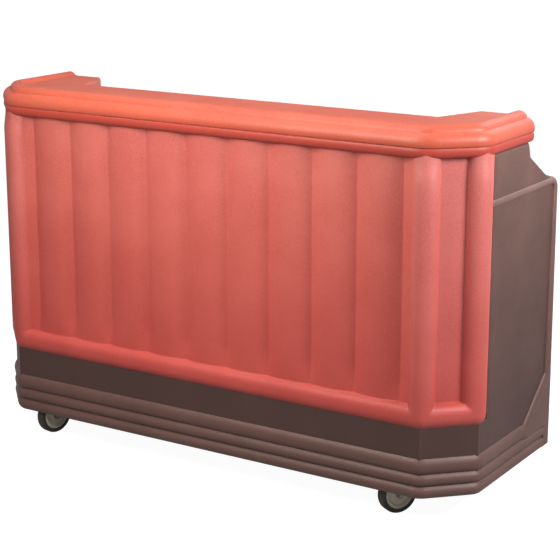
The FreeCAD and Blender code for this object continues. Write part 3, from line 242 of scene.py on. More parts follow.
def coated(name, colour, roughness, fleck_mm, depth):
    """Painted, dipped or rubber skin: one colour dusted by a noise, with a low bump of the same size."""
    material, tree, shader, place = finish(name)
    dust = add(tree, "TexNoise", {"Scale": 1 / (fleck_mm * MM), "Detail": 5.0}, {"Vector": place})
    dusty = [(1 - DUST_SHARE) * c + DUST_SHARE * d for c, d in zip(linear(colour), linear(DUST))]
    spread = add(tree, "MapRange", {"From Min": FLECK_STARTS, "From Max": FLECK_FULL, "To Max": FLECK_SHARE},
                 {"Value": dust.outputs["Fac"]})
    mix = add(tree, "Mix", {MIX_A: linear(colour), MIX_B: dusty}, {MIX_SHARE: spread.outputs[0]},
              data_type="RGBA")
    bump = add(tree, "Bump", {"Strength": depth, "Distance": FLECK_RISE_MM * MM},
               {"Height": dust.outputs["Fac"]})
    tree.links.new(mix.outputs[MIX_OUT], shader.inputs["Base Color"])
    tree.links.new(bump.outputs["Normal"], shader.inputs["Normal"])
    shader.inputs["Roughness"].default_value = roughness
    return material


# Tyres: matt dark grey with floor dust on it.
tyre_rubber = coated("grey_rubber_moulded", "#3E3B37", 0.75, 8.0, 0.15)
# Brake pedals: black powder coat with a fine orange peel.
black_steel = coated("black_powder_coated_steel", "#232220", 0.5, 3.0, 0.1)
# Valve lever: a smooth red dip that shines a little.
red_vinyl = coated("red_vinyl_dipped_steel", "#B3241C", 0.35, 12.0, 0.05)
print("coated finishes:", tyre_rubber.name, black_steel.name, red_vinyl.name)

# %% [markdown]
# Every new skin is a sheet of points: two parameters run over it, and numpy works out all its points
# at once. A sheet becomes a mesh when each point is joined to its next neighbours. A moulded shell is
# two such sheets, front and back, with a rim between them, so that it is closed. A Solidify modifier
# could thicken a sheet too, but a second sheet can follow the flat wall behind.

# %% Sheets to closed shells


def sheet_faces(rows, columns, start=0, wrap=False):
    """Quads of a grid numbered row by row: each joins a point to the next in its row and column."""
    row, column = np.meshgrid(np.arange(rows - 1), np.arange(columns if wrap else columns - 1), indexing="ij")
    after = (column + 1) % columns
    here, below = row * columns, (row + 1) * columns
    quads = np.stack([here + column, here + after, below + after, below + column], -1)
    return quads.reshape(-1, 4) + start


def closed_shell(front, back, side=1):
    """Two sheets of the same grid and the rim that joins their borders; a side of -1 mirrors X."""
    rows, columns = front.shape[:2]
    points = np.concatenate([front.reshape(-1, 3), back.reshape(-1, 3)]) * (side, 1, 1)
    half = rows * columns
    number = np.arange(half).reshape(rows, columns)
    ring = np.concatenate([number[0, :-1], number[:-1, -1], number[-1, :0:-1], number[:0:-1, 0]])
    after = np.roll(ring, -1)
    rim = np.stack([ring, ring + half, after + half, after], -1)
    faces = [sheet_faces(rows, columns), sheet_faces(rows, columns, half)[:, ::-1], rim]
    return points, np.concatenate(faces)


corners = np.array([[(0, 0, 0), (1, 0, 0)], [(0, 1, 0), (1, 1, 0)]], float)
print("a shell of two squares has", len(closed_shell(corners, corners + (0, 0, 1))[1]), "faces")

# %% [markdown]
# A piece is one object made of such shells. Its faces have to point outwards, and a mirrored shell comes
# out inside out. Blender can recalculate normals, but the sign of the volume tells the same at once. Then
# the piece rides on its body of the frame, takes its finish, and stands for the CAD node under it.

# %% Shells to pieces
SHARP = math.radians(40)


def outward(points, quads):
    """The quads, turned over if the volume they close comes out negative (a sum of corner pyramids)."""
    a, b, c, d = points[quads].transpose(1, 0, 2)
    volume = (np.cross(a, b) * c + np.cross(a, c) * d).sum() / 6
    return points, quads if volume > 0 else quads[:, ::-1]


def piece(name, parts, material, body, replaced=()):
    """One object from closed (points, quads) parts, riding on a body of the frame."""
    parts = [outward(*part) for part in parts]
    counts = np.cumsum([0] + [len(points) for points, quads in parts])
    points = np.concatenate([points for points, quads in parts])
    quads = np.concatenate([quads + start for (_, quads), start in zip(parts, counts)])
    mesh = bpy.data.meshes.new(name)
    mesh.from_pydata(points.tolist(), [], quads.tolist())
    mesh.polygons.foreach_set("use_smooth", np.ones(len(mesh.polygons), bool))
    mesh.validate()
    mesh.set_sharp_from_angle(angle=SHARP)
    mesh.materials.append(material)
    made = bpy.data.objects.new(name, mesh)
    bpy.context.scene.collection.objects.link(made)
    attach(made, body)
    if replaced:
        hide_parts(*replaced)
    print(name, len(points), "points", np.round(points.min(0), 3), np.round(points.max(0), 3))


print("pieces are shaded smooth up to", round(math.degrees(SHARP)), "degrees")

# %% [markdown]
# The plan of the body is a long front, two 45 degree corners and two ends. Its skins are profiles
# carried along that line. The mould's corners are soft, so the line is rounded before it is used:
# each corner becomes an arc that touches both of its sides. A curve object with a bevel could do the
# same, but here each station's normal is needed too, to hang a profile on.

# %% Plan line of the body
BODY_HALF, BODY_FRONT, BODY_BACK = 0.913, -0.319, 0.330
CORNER_LEG = 0.131
CORNER_Y = BODY_FRONT + CORNER_LEG
TOP_SOFT, BUMPER_SOFT = 0.086, 0.050


def rounded_line(corners, radius, steps=10):
    """Open line with arcs at its corners: points, and the outward normals on its right-hand side.

    On an arc the normal turns evenly from one leg's to the next one's, by the ratio of sines.
    """
    corners = np.asarray(corners, float)
    along = np.diff(corners, axis=0)
    along /= np.linalg.norm(along, axis=1)[:, None]
    right = np.stack([along[:, 1], -along[:, 0]], 1)
    before, after = along[:-1], along[1:]
    turn = np.arccos((before * after).sum(1).clip(-1, 1))
    bend = np.sign(before[:, 0] * after[:, 1] - before[:, 1] * after[:, 0])
    signed = (bend * radius)[:, None]
    centre = corners[1:-1] - before * (radius * np.tan(turn / 2))[:, None] - right[:-1] * signed
    share = np.linspace(0, 1, steps + 1)[None, :, None]
    angle = turn[:, None, None]
    from_leg, to_leg = np.sin((1 - share) * angle), np.sin(share * angle)
    normals = (from_leg * right[:-1, None] + to_leg * right[1:, None]) / np.sin(angle)
    points = centre[:, None] + normals * signed[:, None]
    return (np.concatenate([corners[:1], points.reshape(-1, 2), corners[-1:]]),
            np.concatenate([right[:1], normals.reshape(-1, 2), right[-1:]]))


def body_line(back, radius):
    """Plan line of the body from the left back end round the front to the right back end."""
    run = BODY_HALF - CORNER_LEG
    return rounded_line([(-BODY_HALF, back), (-BODY_HALF, CORNER_Y), (-run, BODY_FRONT),
                         (run, BODY_FRONT), (BODY_HALF, CORNER_Y), (BODY_HALF, back)], radius)


def carried(profile, line, out):
    """Profile of (out, up) points at each station: out along the station's normal, up as it stands."""
    xy = line[:, None] + out[:, None] * profile[None, :, :1]
    return np.concatenate([xy, np.broadcast_to(profile[None, :, 1:], (*xy.shape[:2], 1))], 2)


print("plan line has", len(body_line(BODY_BACK, BUMPER_SOFT)[0]), "stations")

# %% [markdown]
# The bar top's edge shows the mould maker's hand: a roll below, a fine parting line, a bullnose, a cove
# and a raised rim. Bevelled boxes would round it alike everywhere, so the profile is drawn point by point,
# with arcs where it is round. The first number of a point is how far it stands out from the plan line,
# the second its height.

# %% Edge of the bar top
SURFACE, UNDERSIDE = 1.206, 1.125


def arc(centre, radius, start, end, count):
    """Points on a circle from one angle to another, in degrees, measured from outwards to up."""
    angle = np.radians(np.linspace(start, end, count))
    return np.stack([centre[0] + radius * np.cos(angle), centre[1] + radius * np.sin(angle)], 1)


lower_roll = [(-0.0120, UNDERSIDE), (-0.0030, 1.1256), (0.0030, 1.1285), (0.0072, 1.1330),
              (0.0094, 1.1390), (0.0100, 1.1450), (0.0096, 1.1505), (0.0085, 1.1540)]
parting_line = [(0.0062, 1.1552), (0.0060, 1.1560), (0.0084, 1.1568)]
bullnose = arc((-0.0222, 1.1688), 0.0332, -19, 68, 15)
cove = [(-0.0136, 1.1962)]
rim = arc((-0.0397, 1.1930), 0.0260, 8, 140, 17)
flat = [(-0.0640, 1.2072), (-0.0700, SURFACE), (-0.0740, SURFACE)]
edge_profile = np.concatenate([lower_roll, parting_line, bullnose, cove, rim, flat])
print("edge profile has", len(edge_profile), "points and rises to", round(edge_profile[:, 1].max(), 4))

# %% [markdown]
# The bar top is one hollow moulding, a U in plan. At every station of the plan line the profile's outer
# half hangs on the line, and its inner half runs flat to the U's inner edge and turns down there in a
# round nose, so the section is a closed loop. Joining the loops gives one closed skin with no seams,
# where three joined boards would show two.

# %% Bar top
WING_BACK, RUN_BACK, WING_ROOT, WING_TIP = 0.115, -0.050, 0.680, 0.737
NOSE_ROUND, HEEL_ROUND, TOP_CAP = 0.010, 0.004, 0.003
RUN_STEPS = 24

nose_profile = np.concatenate([[(-0.014, SURFACE)],
                               arc((-NOSE_ROUND, SURFACE - NOSE_ROUND), NOSE_ROUND, 90, 0, 6),
                               arc((-HEEL_ROUND, UNDERSIDE + HEEL_ROUND), HEEL_ROUND, 0, -90, 3),
                               [(-0.060, UNDERSIDE)]])


def inner_edge(line):
    """The U's inner line seen from each station, and the way it faces: a quarter turn round its corner."""
    share = ((line[:, 1] - CORNER_Y) / (WING_BACK - BODY_FRONT - CORNER_LEG)).clip(0, 1)
    side = np.sign(line[:, 0])
    fan = ((np.abs(line[:, 0]) - WING_ROOT) / (BODY_HALF - WING_ROOT)).clip(0, 1)
    splay = math.atan2(WING_TIP - WING_ROOT, WING_BACK - RUN_BACK)
    turn = fan * (math.pi / 2 - splay) + share * splay
    x = line[:, 0].clip(-WING_ROOT, WING_ROOT) + side * share * (WING_TIP - WING_ROOT)
    inner = np.stack([x, RUN_BACK + share * (WING_BACK - RUN_BACK)], 1)
    return inner, np.stack([-side * np.sin(turn), np.cos(turn)], 1)


def bar_top_sections():
    """Closed loops, one per station: the edge profile, the flat, the nose and the underside."""
    line, out = body_line(WING_BACK, TOP_SOFT)
    middle = len(line) // 2
    left, right = line[middle - 1], line[middle]
    steps = np.linspace(0, 1, RUN_STEPS + 1)[1:-1, None]
    line = np.concatenate([line[:middle], left + (right - left) * steps, line[middle:]])
    out = np.concatenate([out[:middle], out[middle:middle + 1].repeat(len(steps), 0), out[middle:]])
    return np.concatenate([carried(edge_profile, line, out), carried(nose_profile, *inner_edge(line))], 1)


def looped(loops, soften):
    """Skin through closed loops: quads between neighbours, and caps rounded over by soften."""
    def cap(loop, before):
        """Copies of an end loop, each smaller and pushed further out, down to a point."""
        middle = loop.mean(0)
        ahead = middle - before.mean(0)
        ahead /= np.linalg.norm(ahead)
        draw = soften / np.linalg.norm(loop - middle, axis=1).max()
        rings = ((1 - draw, 0.7), (1 - 2.5 * draw, 1.0), (0.0, 1.0))
        return [middle + (loop - middle) * size + ahead * soften * push for size, push in rings]
    grid = np.concatenate([cap(loops[0], loops[1])[::-1], loops, cap(loops[-1], loops[-2])])
    return grid.reshape(-1, 3), sheet_faces(*grid.shape[:2], wrap=True)


top_points, top_quads = looped(bar_top_sections(), TOP_CAP)
top_points[:, 1] = top_points[:, 1].clip(None, WING_BACK)
piece("bar_top_skin", [(top_points, top_quads)], red_top, "bar", ["bar_top"])

# %% [markdown]
# The red front is three mouldings. In front of the flat wall each is a relief: how far it stands out at
# each place along the wall and each height. A pleat is a shallow bow. The foot roll is round below and
# a squarer oval above. The largest wins, and a soft maximum rounds the inner corners as the mould does.
# Boolean unions of cylinders would leave those corners knife sharp.

# %% Relief of the red front
BASE_TOP, WALL_FACE, ROUND, ROLL_Z = 0.315, -0.290, 0.040, 0.34255
PLEATS, PITCH, PLEAT_CREST, PLEAT_DEPTH, VALLEY = 9, 0.15551, 0.021, 0.018, 0.0012
BOW_POWER, ROLL_POWER, OVAL_POWER, ROLL_FALL = 2.2, 2.0, 2.6, 3


def soft_max(a, b, k):
    """Larger of two fields, with the crease between them rounded over about k."""
    return 0.5 * (a + b + np.sqrt((a - b) ** 2 + k ** 2))


def roll_relief(z):
    """Roll along the foot: a circle's height below its middle, an oval's above, and a steep fall beyond."""
    lift = z - ROLL_Z
    away = np.abs(lift)
    power = np.where(lift > 0, OVAL_POWER, ROLL_POWER)
    inside = ROUND * (1 - np.minimum(away / ROUND, 1) ** power) ** (1 / power)
    return np.where(away < ROUND, inside, -ROLL_FALL * (away - ROUND))


def pleat_relief(x):
    """Equal bows side by side: a crest that falls by a power of the way to its pleat's edge."""
    away = np.abs((x / PITCH + PLEATS / 2) % 1.0 * PITCH - PITCH / 2)
    near, far = (PLEAT_CREST - PLEAT_DEPTH * (a / (PITCH / 2)) ** BOW_POWER for a in (away, PITCH - away))
    return soft_max(near, far, VALLEY) - VALLEY / 2


print("pleats stand out by", np.round(pleat_relief(np.array([0.0, PITCH / 2])), 4), "at crest and valley")

# %% [markdown]
# The front panel is the pleats and the foot roll in one relief. A sine wave would be simpler, but its
# valleys are as round as its crests, and real pleats meet in tight ones. Towards the foot the valleys fill
# up, as powder gathers in a mould's corner, so the roll's upper edge stays nearly straight. The grid is
# closest where the relief bends: in the valleys and on the roll.

# %% Front panel
POST_X, PANEL_LAP, PANEL_CREASE = 0.770, 0.0045, 0.004
PANEL_HALF = POST_X - ROUND + PANEL_LAP
FILL_TOP, FILL_SPAN, FILL_SHARE = 0.45, 0.07, 0.6

heights = np.concatenate([np.linspace(BASE_TOP, 0.345, 9), np.linspace(0.350, 0.392, 22),
                          np.linspace(0.398, 0.46, 6), np.linspace(0.47, 1.135, 9)])


def front_panel_shell():
    """The pleats and the foot roll as one relief on the wall, closed by the wall's own plane."""
    valleys = (np.arange(PLEATS + 1) - PLEATS / 2)[:, None] * PITCH
    beside = np.array([-0.004, -0.0015, 0, 0.0015, 0.004])
    x = np.concatenate([np.linspace(-PANEL_HALF, PANEL_HALF, 190), (valleys + beside).ravel()])
    z, x = np.meshgrid(heights, np.unique(x), indexing="ij")
    fill = FILL_SHARE * ((FILL_TOP - z) / FILL_SPAN).clip(0, 1)
    pleats = pleat_relief(x) * (1 - fill) + PLEAT_CREST * fill
    relief = soft_max(pleats, roll_relief(z), PANEL_CREASE).clip(None, ROUND)
    return closed_shell(np.stack([x, WALL_FACE - relief, z], 2),
                        np.stack([x, np.full_like(x, WALL_FACE), z], 2))


piece("front_panel_skin", [front_panel_shell()], red_panel, "bar", ["front_panel"])

# %% [markdown]
# A corner panel bends round two posts. Its wall line runs along the front, turns 45 degrees on the first
# post's axis, runs across the corner and turns again on the second. Where the line turns, the stations
# fan out from the axis, so a post comes out truly round. A plain bent grid would squeeze it oval.

# %% Wall line of a corner
POSTS = np.array([(POST_X, WALL_FACE), (0.884, -0.176)])
POST_WING, PANE_END, PANE_MIDDLE, FAR = 0.0392, 0.045, 0.050, 1.0
PANE, HIDDEN, FLANGE = 0.008, -0.020, 0.0275


def corner_line():
    """Stations of the right-hand corner, in five stretches: wing, fan, pane, fan, wing.

    For each: foot point, outward normal, distances from the two post axes, depth of the pane, and
    whether the foot roll passes it.
    """
    wing = np.linspace(POST_WING, 0, 14)
    length = np.linalg.norm(POSTS[1] - POSTS[0])
    pane = np.concatenate([np.linspace(0, PANE_END, 18)[1:], np.linspace(PANE_MIDDLE, length - PANE_MIDDLE, 6),
                           np.linspace(length - PANE_END, length, 18)[:-1]])
    fan = np.radians(np.linspace(0, 45, 8))
    counts = [len(part) for part in (wing, fan, pane, fan, wing)]
    turn = np.concatenate([0 * wing, fan, 0 * pane + math.pi / 4, fan + math.pi / 4, 0 * wing + math.pi / 2])
    along = np.concatenate([-wing, 0 * fan, pane, 0 * fan, wing[::-1]])
    legs = np.array([(1.0, 0.0), (0.0, 0.0), (POSTS[1] - POSTS[0]) / length, (0.0, 0.0), (0.0, 1.0)])
    foot = POSTS[[0, 0, 0, 1, 1]].repeat(counts, 0) + legs.repeat(counts, 0) * along[:, None]
    out = np.stack([np.sin(turn), -np.cos(turn)], 1)
    first = np.concatenate([wing, 0 * fan, pane, 0 * fan + FAR, 0 * wing + FAR])
    second = np.concatenate([0 * wing + FAR, 0 * fan + FAR, length - pane, 0 * fan, wing[::-1]])
    pane_depth = np.repeat([HIDDEN, PANE, PANE, PANE, FLANGE], counts)
    return foot, out, first, second, pane_depth, np.repeat([True, True, True, True, False], counts)


print("a corner has", len(corner_line()[0]), "stations")

# %% [markdown]
# On that line the corner is a relief again: two half-round posts, a pane between them and the foot roll.
# Under the bar top's roll the posts lean in a little, only at their crests, so that they meet it without
# a step. The last wing, on the end of the bar, has no roll, and its post is rounded off at the foot. Posts
# could be pieces of their own, but a relief keeps the corner one moulding with no seams, as the real one is.

# %% Corner panels
POST_NECK, POST_TOP, POST_TUCK = 1.050, 1.150, 0.0072
FOOT_ROUND, FOOT_FALL, FLANGE_FALL = 0.333, 1.3, 1.2
CORNER_CREASE, TINY = 0.003, 1e-8


def corner_panel_shell(side):
    """Posts, foot roll and pane as one relief; a post is drawn in under the bar top, and at its outer foot."""
    foot, out, first, second, pane_depth, rolled = corner_line()
    levels = np.concatenate([heights[heights < POST_NECK - 0.01], np.linspace(POST_NECK, POST_TOP, 13)])
    z = levels[:, None].repeat(len(foot), 1)
    drop = FOOT_FALL * (FOOT_ROUND - z).clip(0) * ~rolled
    rise = ((z - POST_NECK) / (UNDERSIDE - POST_NECK)).clip(0, 1)
    away = np.minimum(first, second)
    tuck = POST_TUCK * (1 - np.cos(np.pi * rise)) / 2 * (1 - (away / ROUND) ** 2).clip(0)
    posts = np.sqrt((ROUND ** 2 - away ** 2 - drop ** 2).clip(TINY)) - tuck
    relief = soft_max(posts, pane_depth - FLANGE_FALL * drop, CORNER_CREASE)
    relief = np.where(rolled, soft_max(relief, roll_relief(z), CORNER_CREASE), relief)
    relief = np.minimum(relief, np.sqrt(ROUND ** 2 - (ROLL_Z - z).clip(0) ** 2))
    front = np.concatenate([foot + out * relief[..., None], z[..., None]], 2)
    back = np.concatenate([np.broadcast_to(foot, (*z.shape, 2)), z[..., None]], 2)
    return closed_shell(front, back, side)


for side, name in ((1, "right"), (-1, "left")):
    piece("corner_panel_skin_" + name, [corner_panel_shell(side)], red_corner, "bar",
          ["corner_panel_" + name])

# %% [markdown]
# The bumper takes the knocks: three bowed ridges carried round the base, one above the other. It could be
# three bevelled curves, but then the grooves between them would be gaps, so one profile holds all three
# on a thin web. Rows of points crowd towards the grooves, where the profile bends most.

# %% Ridges of the bumper
RIDGES = np.array([(0.091, 0.129), (0.129, 0.167), (0.167, 0.217)])
WEB, CREST, TAIL_START = 0.001, 0.011, 0.120


def ridge_relief(z, ridges):
    """Ridges one above the other: a web, and on it the tallest of the ridges' bows."""
    share = (z[..., None] - ridges.mean(1)) / (ridges[:, 1] - ridges[:, 0]) * 2
    return WEB + (CREST - WEB) * (1 - np.abs(share) ** BOW_POWER).clip(0).max(-1)


def bumper_sweep():
    """The ridges' profile round the body, from one tail to the other, closed by the body's plane."""
    line, out = body_line(TAIL_START, BUMPER_SOFT)
    ease = (1 - np.cos(np.linspace(0, np.pi, 15))) / 2
    z = np.unique((RIDGES[:, :1] + (RIDGES[:, 1:] - RIDGES[:, :1]) * ease).ravel())
    relief = ridge_relief(z, RIDGES)
    return closed_shell(*(carried(np.stack([stand, z], 1), line, out).swapaxes(0, 1)
                          for stand in (relief, 0 * relief)))


print("ridges stand", np.round(ridge_relief(RIDGES.mean(1), RIDGES), 4), "proud at their crests")

# %% [markdown]
# At each back corner the two lower ridges run out into a flat, and the flat also fills the corner under
# the bead that climbs from the top ridge. That is no longer one profile along a line, so each tail is a
# small relief of its own on the end of the body, over depth and height.

# %% Bumper
TAIL_TOP, TAIL_FLAT, TAIL_SUNK, TAIL_BACK = 0.349, CREST - 0.003, -0.004, 0.006
RUNOUT_START, RUNOUT, FLAT_START = 0.268, 0.023, 0.291
GROOVE_CUT, GROOVE_HALF = 0.006, 0.007
LOW_CREST, LOW_HALF = 0.110, 0.019
BEAD_BEND_Y, BEAD_Z, TAIL_EDGE_TOP = 0.141, 0.192, 0.345
TOP_BLEND, TOP_END = 0.035, 0.150


def bumper_tail(side):
    """Relief on the end: ridges that stop at a flat, and a flat that fills the corner under the bead."""
    z, y = np.meshgrid(np.linspace(RIDGES[0, 0], TAIL_TOP, 173), np.linspace(TAIL_START, BODY_BACK, 120),
                       indexing="ij")
    start = ((y - RUNOUT_START) / RUNOUT).clip(0, 1)
    groove = np.abs(z[..., None] - RIDGES[:2, 1]).min(-1)
    cut = GROOVE_CUT * (groove < GROOVE_HALF * start) * (start > 0)
    bottom = CREST * np.sqrt((1 - ((LOW_CREST - z).clip(0) / LOW_HALF) ** 2).clip(0))
    lower = np.where(y > FLAT_START, np.minimum(TAIL_FLAT, bottom), ridge_relief(z, RIDGES[:2]) - cut)
    edge = np.interp(y, (TAIL_START, BEAD_BEND_Y, BODY_BACK), (BEAD_Z, BEAD_Z, TAIL_EDGE_TOP))
    top_ridge = ridge_relief(z, RIDGES[2:])
    upper = top_ridge + (TAIL_FLAT - top_ridge) * ((y - TAIL_START) / TOP_BLEND).clip(0, 1)
    top_low, top_high = RIDGES[2]
    relief = np.where(z < top_low, lower, np.where(z < edge, upper, TAIL_SUNK))
    on_top = (y < TOP_END) & (z >= top_low) & (z < top_high)
    relief = np.where(on_top, np.maximum(relief, top_ridge), relief)
    return closed_shell(np.stack([BODY_HALF + relief, y, z], 2),
                        np.stack([np.full_like(y, BODY_HALF - TAIL_BACK), y, z], 2), side)


piece("bumper_skin", [bumper_sweep(), bumper_tail(1), bumper_tail(-1)], brown_scuffed_and_sheened, "bar",
      ["bumper"])

# %% [markdown]
# An end panel is a double-skinned wall with a shoulder that steps down to the deck. An extruded outline
# with a bevel could make it, but bevels fold over at the shoulder's tight corners. So the wall is a sheet
# over depth and height, stretched up to the shoulder line, whose rim is drawn in on a quarter round. A
# thin skirt goes on down behind the bumper, so that no seam shows above it.

# %% Wall of an end panel
END_FRONT, END_INNER, EDGE_ROUND = -0.1357, 0.873, 0.006
DECK_TOP, BACK_STARTS, BACK_ROUND, SLOPE = 0.990, 0.290, 0.032, 0.9
SKIRT, SKIRT_WALL, SKIRT_ROWS, SEAM = 0.200, 0.002, 4, 0.0001
LAP, LAP_IN, PROUD, NEAR_TOP = 0.012, -0.0006, 0.0004, 0.03
SHOULDER_Y = (END_FRONT, 0.1035, 0.1050, 0.1160, 0.1200, 0.2340, 0.2480, 0.2980)
SHOULDER_Z = (UNDERSIDE, UNDERSIDE, 1.1220, 1.0830, 1.0795, 1.0115, 1.0045, DECK_TOP)


def shoulder(y):
    """Top edge of the end wall over depth: level, a steep lean, a slope, the deck and a round corner."""
    past = (y - (BODY_BACK - BACK_ROUND)).clip(0, BACK_ROUND)
    return np.interp(y, SHOULDER_Y, SHOULDER_Z) - BACK_ROUND + np.sqrt(BACK_ROUND ** 2 - past ** 2)


def end_wall(side):
    """Sheet over depth and height up to the shoulder line, with a quarter round rim and a thin skirt."""
    back_edge = BODY_BACK - BACK_ROUND * (1 - np.sin(np.linspace(0, np.pi / 2, 18)))
    depth = np.unique(np.concatenate([np.linspace(END_FRONT, BACK_STARTS, 60), back_edge]))
    crowded = 1 - NEAR_TOP * (1 - np.linspace(0, 1, 14)[1:]) ** 2
    share, y = np.meshgrid(np.concatenate([np.linspace(0, 1 - NEAR_TOP, 20), crowded]), depth, indexing="ij")
    skirt = np.linspace(SKIRT, BASE_TOP - SEAM, SKIRT_ROWS)[:, None].repeat(len(depth), 1)
    z = np.concatenate([skirt, BASE_TOP + share * (shoulder(y) - BASE_TOP)])
    y = np.concatenate([y[:SKIRT_ROWS], y])
    inset = np.minimum((shoulder(y) - z) * SLOPE, BODY_BACK - y).clip(0, EDGE_ROUND)
    x = BODY_HALF - EDGE_ROUND + np.sqrt(EDGE_ROUND ** 2 - (EDGE_ROUND - inset) ** 2)
    x = x + np.interp(y, (END_FRONT, END_FRONT + LAP), (LAP_IN, PROUD))
    inner = np.where(z < BASE_TOP, BODY_HALF - SKIRT_WALL, END_INNER)
    return closed_shell(np.stack([x, y, z], 2), np.stack([inner, y, z], 2), side)


print("shoulder runs from", UNDERSIDE, "down to", DECK_TOP)

# %% [markdown]
# A raised bead frames the end panel without a break: it leaves the bumper's top ridge, climbs the corner,
# follows the back edge, turns at the top and runs forward at deck height. It is wide below and narrow at
# the deck, which a curve with one bevel can't give, so a bow is carried along the path with a width, a
# height and a fullness read from a table of places. It is a piece of its own in the scuffed finish.

# %% Framing bead
BACK_BEAD_Y, BACK_BEAD_Z, DECK_BEAD_Z = 0.316, 0.334, 0.979
BEAD_PATH = [(0.100, BEAD_Z), (BEAD_BEND_Y, BEAD_Z), (BACK_BEAD_Y, BACK_BEAD_Z),
             (BACK_BEAD_Y, DECK_BEAD_Z), (END_FRONT - 0.010, DECK_BEAD_Z)]
BEAD_BEND, BEAD_STEPS, BEAD_SINK, BEAD_EDGE, NEAR_END = 0.028, 12, 0.004, 0.0005, 0.92
BEAD_WIDTH = (0.0245, 0.0210, 0.0230, 0.0110, 0.0110, 0.0100)
BEAD_HEIGHT = (CREST, CREST, 0.010, 0.008, 0.008, 0.001)
BEAD_POWER = (2.0, 1.3, 1.0, 1.0, 1.0, 1.0)


def frame_bead(side):
    """Bow carried along the framing path: across it by the cosine, out of the wall by a power of the sine."""
    path, across = rounded_line(BEAD_PATH, BEAD_BEND, BEAD_STEPS)
    run = np.append(0, np.cumsum(np.linalg.norm(np.diff(path, axis=0), axis=1)))
    path, across, run = (np.insert(a, -1, (1 - NEAR_END) * a[-2] + NEAR_END * a[-1], 0)
                         for a in (path, across, run))
    bend = BEAD_STEPS + 1
    stops = run[[0, bend, 2 * bend, 3 * bend, -2, -1]]
    width, height, power = (np.interp(run, stops, row) for row in (BEAD_WIDTH, BEAD_HEIGHT, BEAD_POWER))
    angle = np.linspace(0, np.pi, 15)[:, None]
    y, z = np.moveaxis(path[None] + across[None] * (np.cos(angle) * width)[..., None], -1, 0)
    y = y.clip(None, BODY_BACK - BEAD_EDGE)
    z = np.minimum(z, shoulder(y) - BEAD_EDGE)
    x = BODY_HALF + np.abs(np.sin(angle)) ** power * height
    return closed_shell(np.stack([x, y, z], 2), np.stack([np.full_like(x, BODY_HALF - BEAD_SINK), y, z], 2),
                        side)


print("bead frames", len(BEAD_PATH) - 1, "runs, from", BEAD_WIDTH[0], "down to", BEAD_WIDTH[-1], "half wide")

# %% [markdown]
# Inside each wall two ledges carry the deck and the shelf. A ledge is an oblong bar with soft edges. A
# box with a bevel would do, but a fourth-power oval is one line of numpy and closes with the caps that
# the bar top already has. The shelf's height is asked of the frame, so it follows the CAD.

# %% End panels
DECK_LEDGE, LEDGE_FRONT, LEDGE_BACK, LEDGE_CAP = 0.976, END_FRONT + 0.004, 0.312, 0.002
LEDGE_IN, LEDGE_HALF_X, LEDGE_HALF_Z = 0.007, 0.013, 0.009
shelf_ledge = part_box("shelf")[0].z


def ledge(side, top):
    """Bar along the inside of the wall: a rounded oblong in section, by a fourth-power oval."""
    turn = np.linspace(0, 2 * np.pi, 33)[:-1]
    circle = np.array([np.cos(turn), np.sin(turn)])
    section = np.sign(circle) * np.sqrt(np.abs(circle))
    x = END_INNER - LEDGE_IN + LEDGE_HALF_X * section[0]
    z = top - LEDGE_HALF_Z + LEDGE_HALF_Z * section[1]
    ends = [np.stack([x, np.full_like(x, y), z], 1) for y in (LEDGE_FRONT, LEDGE_BACK)]
    points, quads = looped(np.stack(ends), LEDGE_CAP)
    return points * (side, 1, 1), quads


for side, name in ((1, "right"), (-1, "left")):
    piece("end_panel_skin_" + name, [end_wall(side), ledge(side, DECK_LEDGE), ledge(side, shelf_ledge)],
          brown_body, "bar", ["end_panel_" + name])
    piece("end_bead_" + name, [frame_bead(side)], brown_scuffed_and_sheened, "bar")

# %% [markdown]
# A caster wheel is turned: a profile is spun about the axle. The hub is a dished disc with a ring and a
# boss, the tyre a band with rounded shoulders. A Screw modifier spins profiles too, but the casters stand
# at four angles, and here the axle's place and direction come straight from the frame's joint.

# %% Wheels
TYRE_SHOULDER = 0.0060
tyre_profile = np.concatenate([[(-0.0150, 0.0486), (-0.0158, 0.0520)],
                               arc((-0.0100, 0.0575), TYRE_SHOULDER, 180, 90, 7),
                               [(-0.0030, 0.0635), (0.0030, 0.0635)],
                               arc((0.0100, 0.0575), TYRE_SHOULDER, 90, 0, 7),
                               [(0.0158, 0.0520), (0.0150, 0.0486)]])
hub_half = np.array([(0.0150, 0.0484), (0.0150, 0.0455), (0.0143, 0.0445), (0.0143, 0.0435), (0.0150, 0.0425),
                     (0.0150, 0.0400), (0.0140, 0.0388), (0.0105, 0.0372), (0.0098, 0.0350), (0.0102, 0.0220),
                     (0.0115, 0.0190), (0.0148, 0.0172), (0.0150, 0.0160), (0.0150, 0.0052)])
hub_profile = np.concatenate([hub_half * (-1, 1), hub_half[::-1]])[::-1]


def turned(profile, centre, axle, steps=72):
    """Profile of (along, radius) points spun about the axle: a sheet closed round the circle."""
    axle, up = np.asarray(axle, float), np.array((0, 0, 1.0))
    angle = np.linspace(0, 2 * np.pi, steps, endpoint=False)[None, :, None]
    spoke = np.cos(angle) * np.cross(axle, up) + np.sin(angle) * up
    loop = np.concatenate([profile, profile[:1]])
    grid = np.asarray(centre) + axle * loop[:, :1, None] + spoke * loop[:, 1:, None]
    return grid.reshape(-1, 3), sheet_faces(*grid.shape[:2], wrap=True)


for joint in frame["joints"]:
    if joint["name"].startswith("caster_wheel_"):
        place = joint["name"].removeprefix("caster_wheel_")
        axle = joint["pos_m"], joint["axis"]
        piece("tyre_band_" + place, [turned(tyre_profile, *axle)], tyre_rubber, joint["child"],
              ["tyre_" + place])
        piece("hub_disc_" + place, [turned(hub_profile, *axle)], hub_plastic, joint["child"],
              ["hub_" + place])

# %% [markdown]
# The other solids keep their CAD shape, and take the finish that belongs to their slot of the record. A
# table from slot to finish does it in one loop, so a node added to the CAD later is dressed as well.

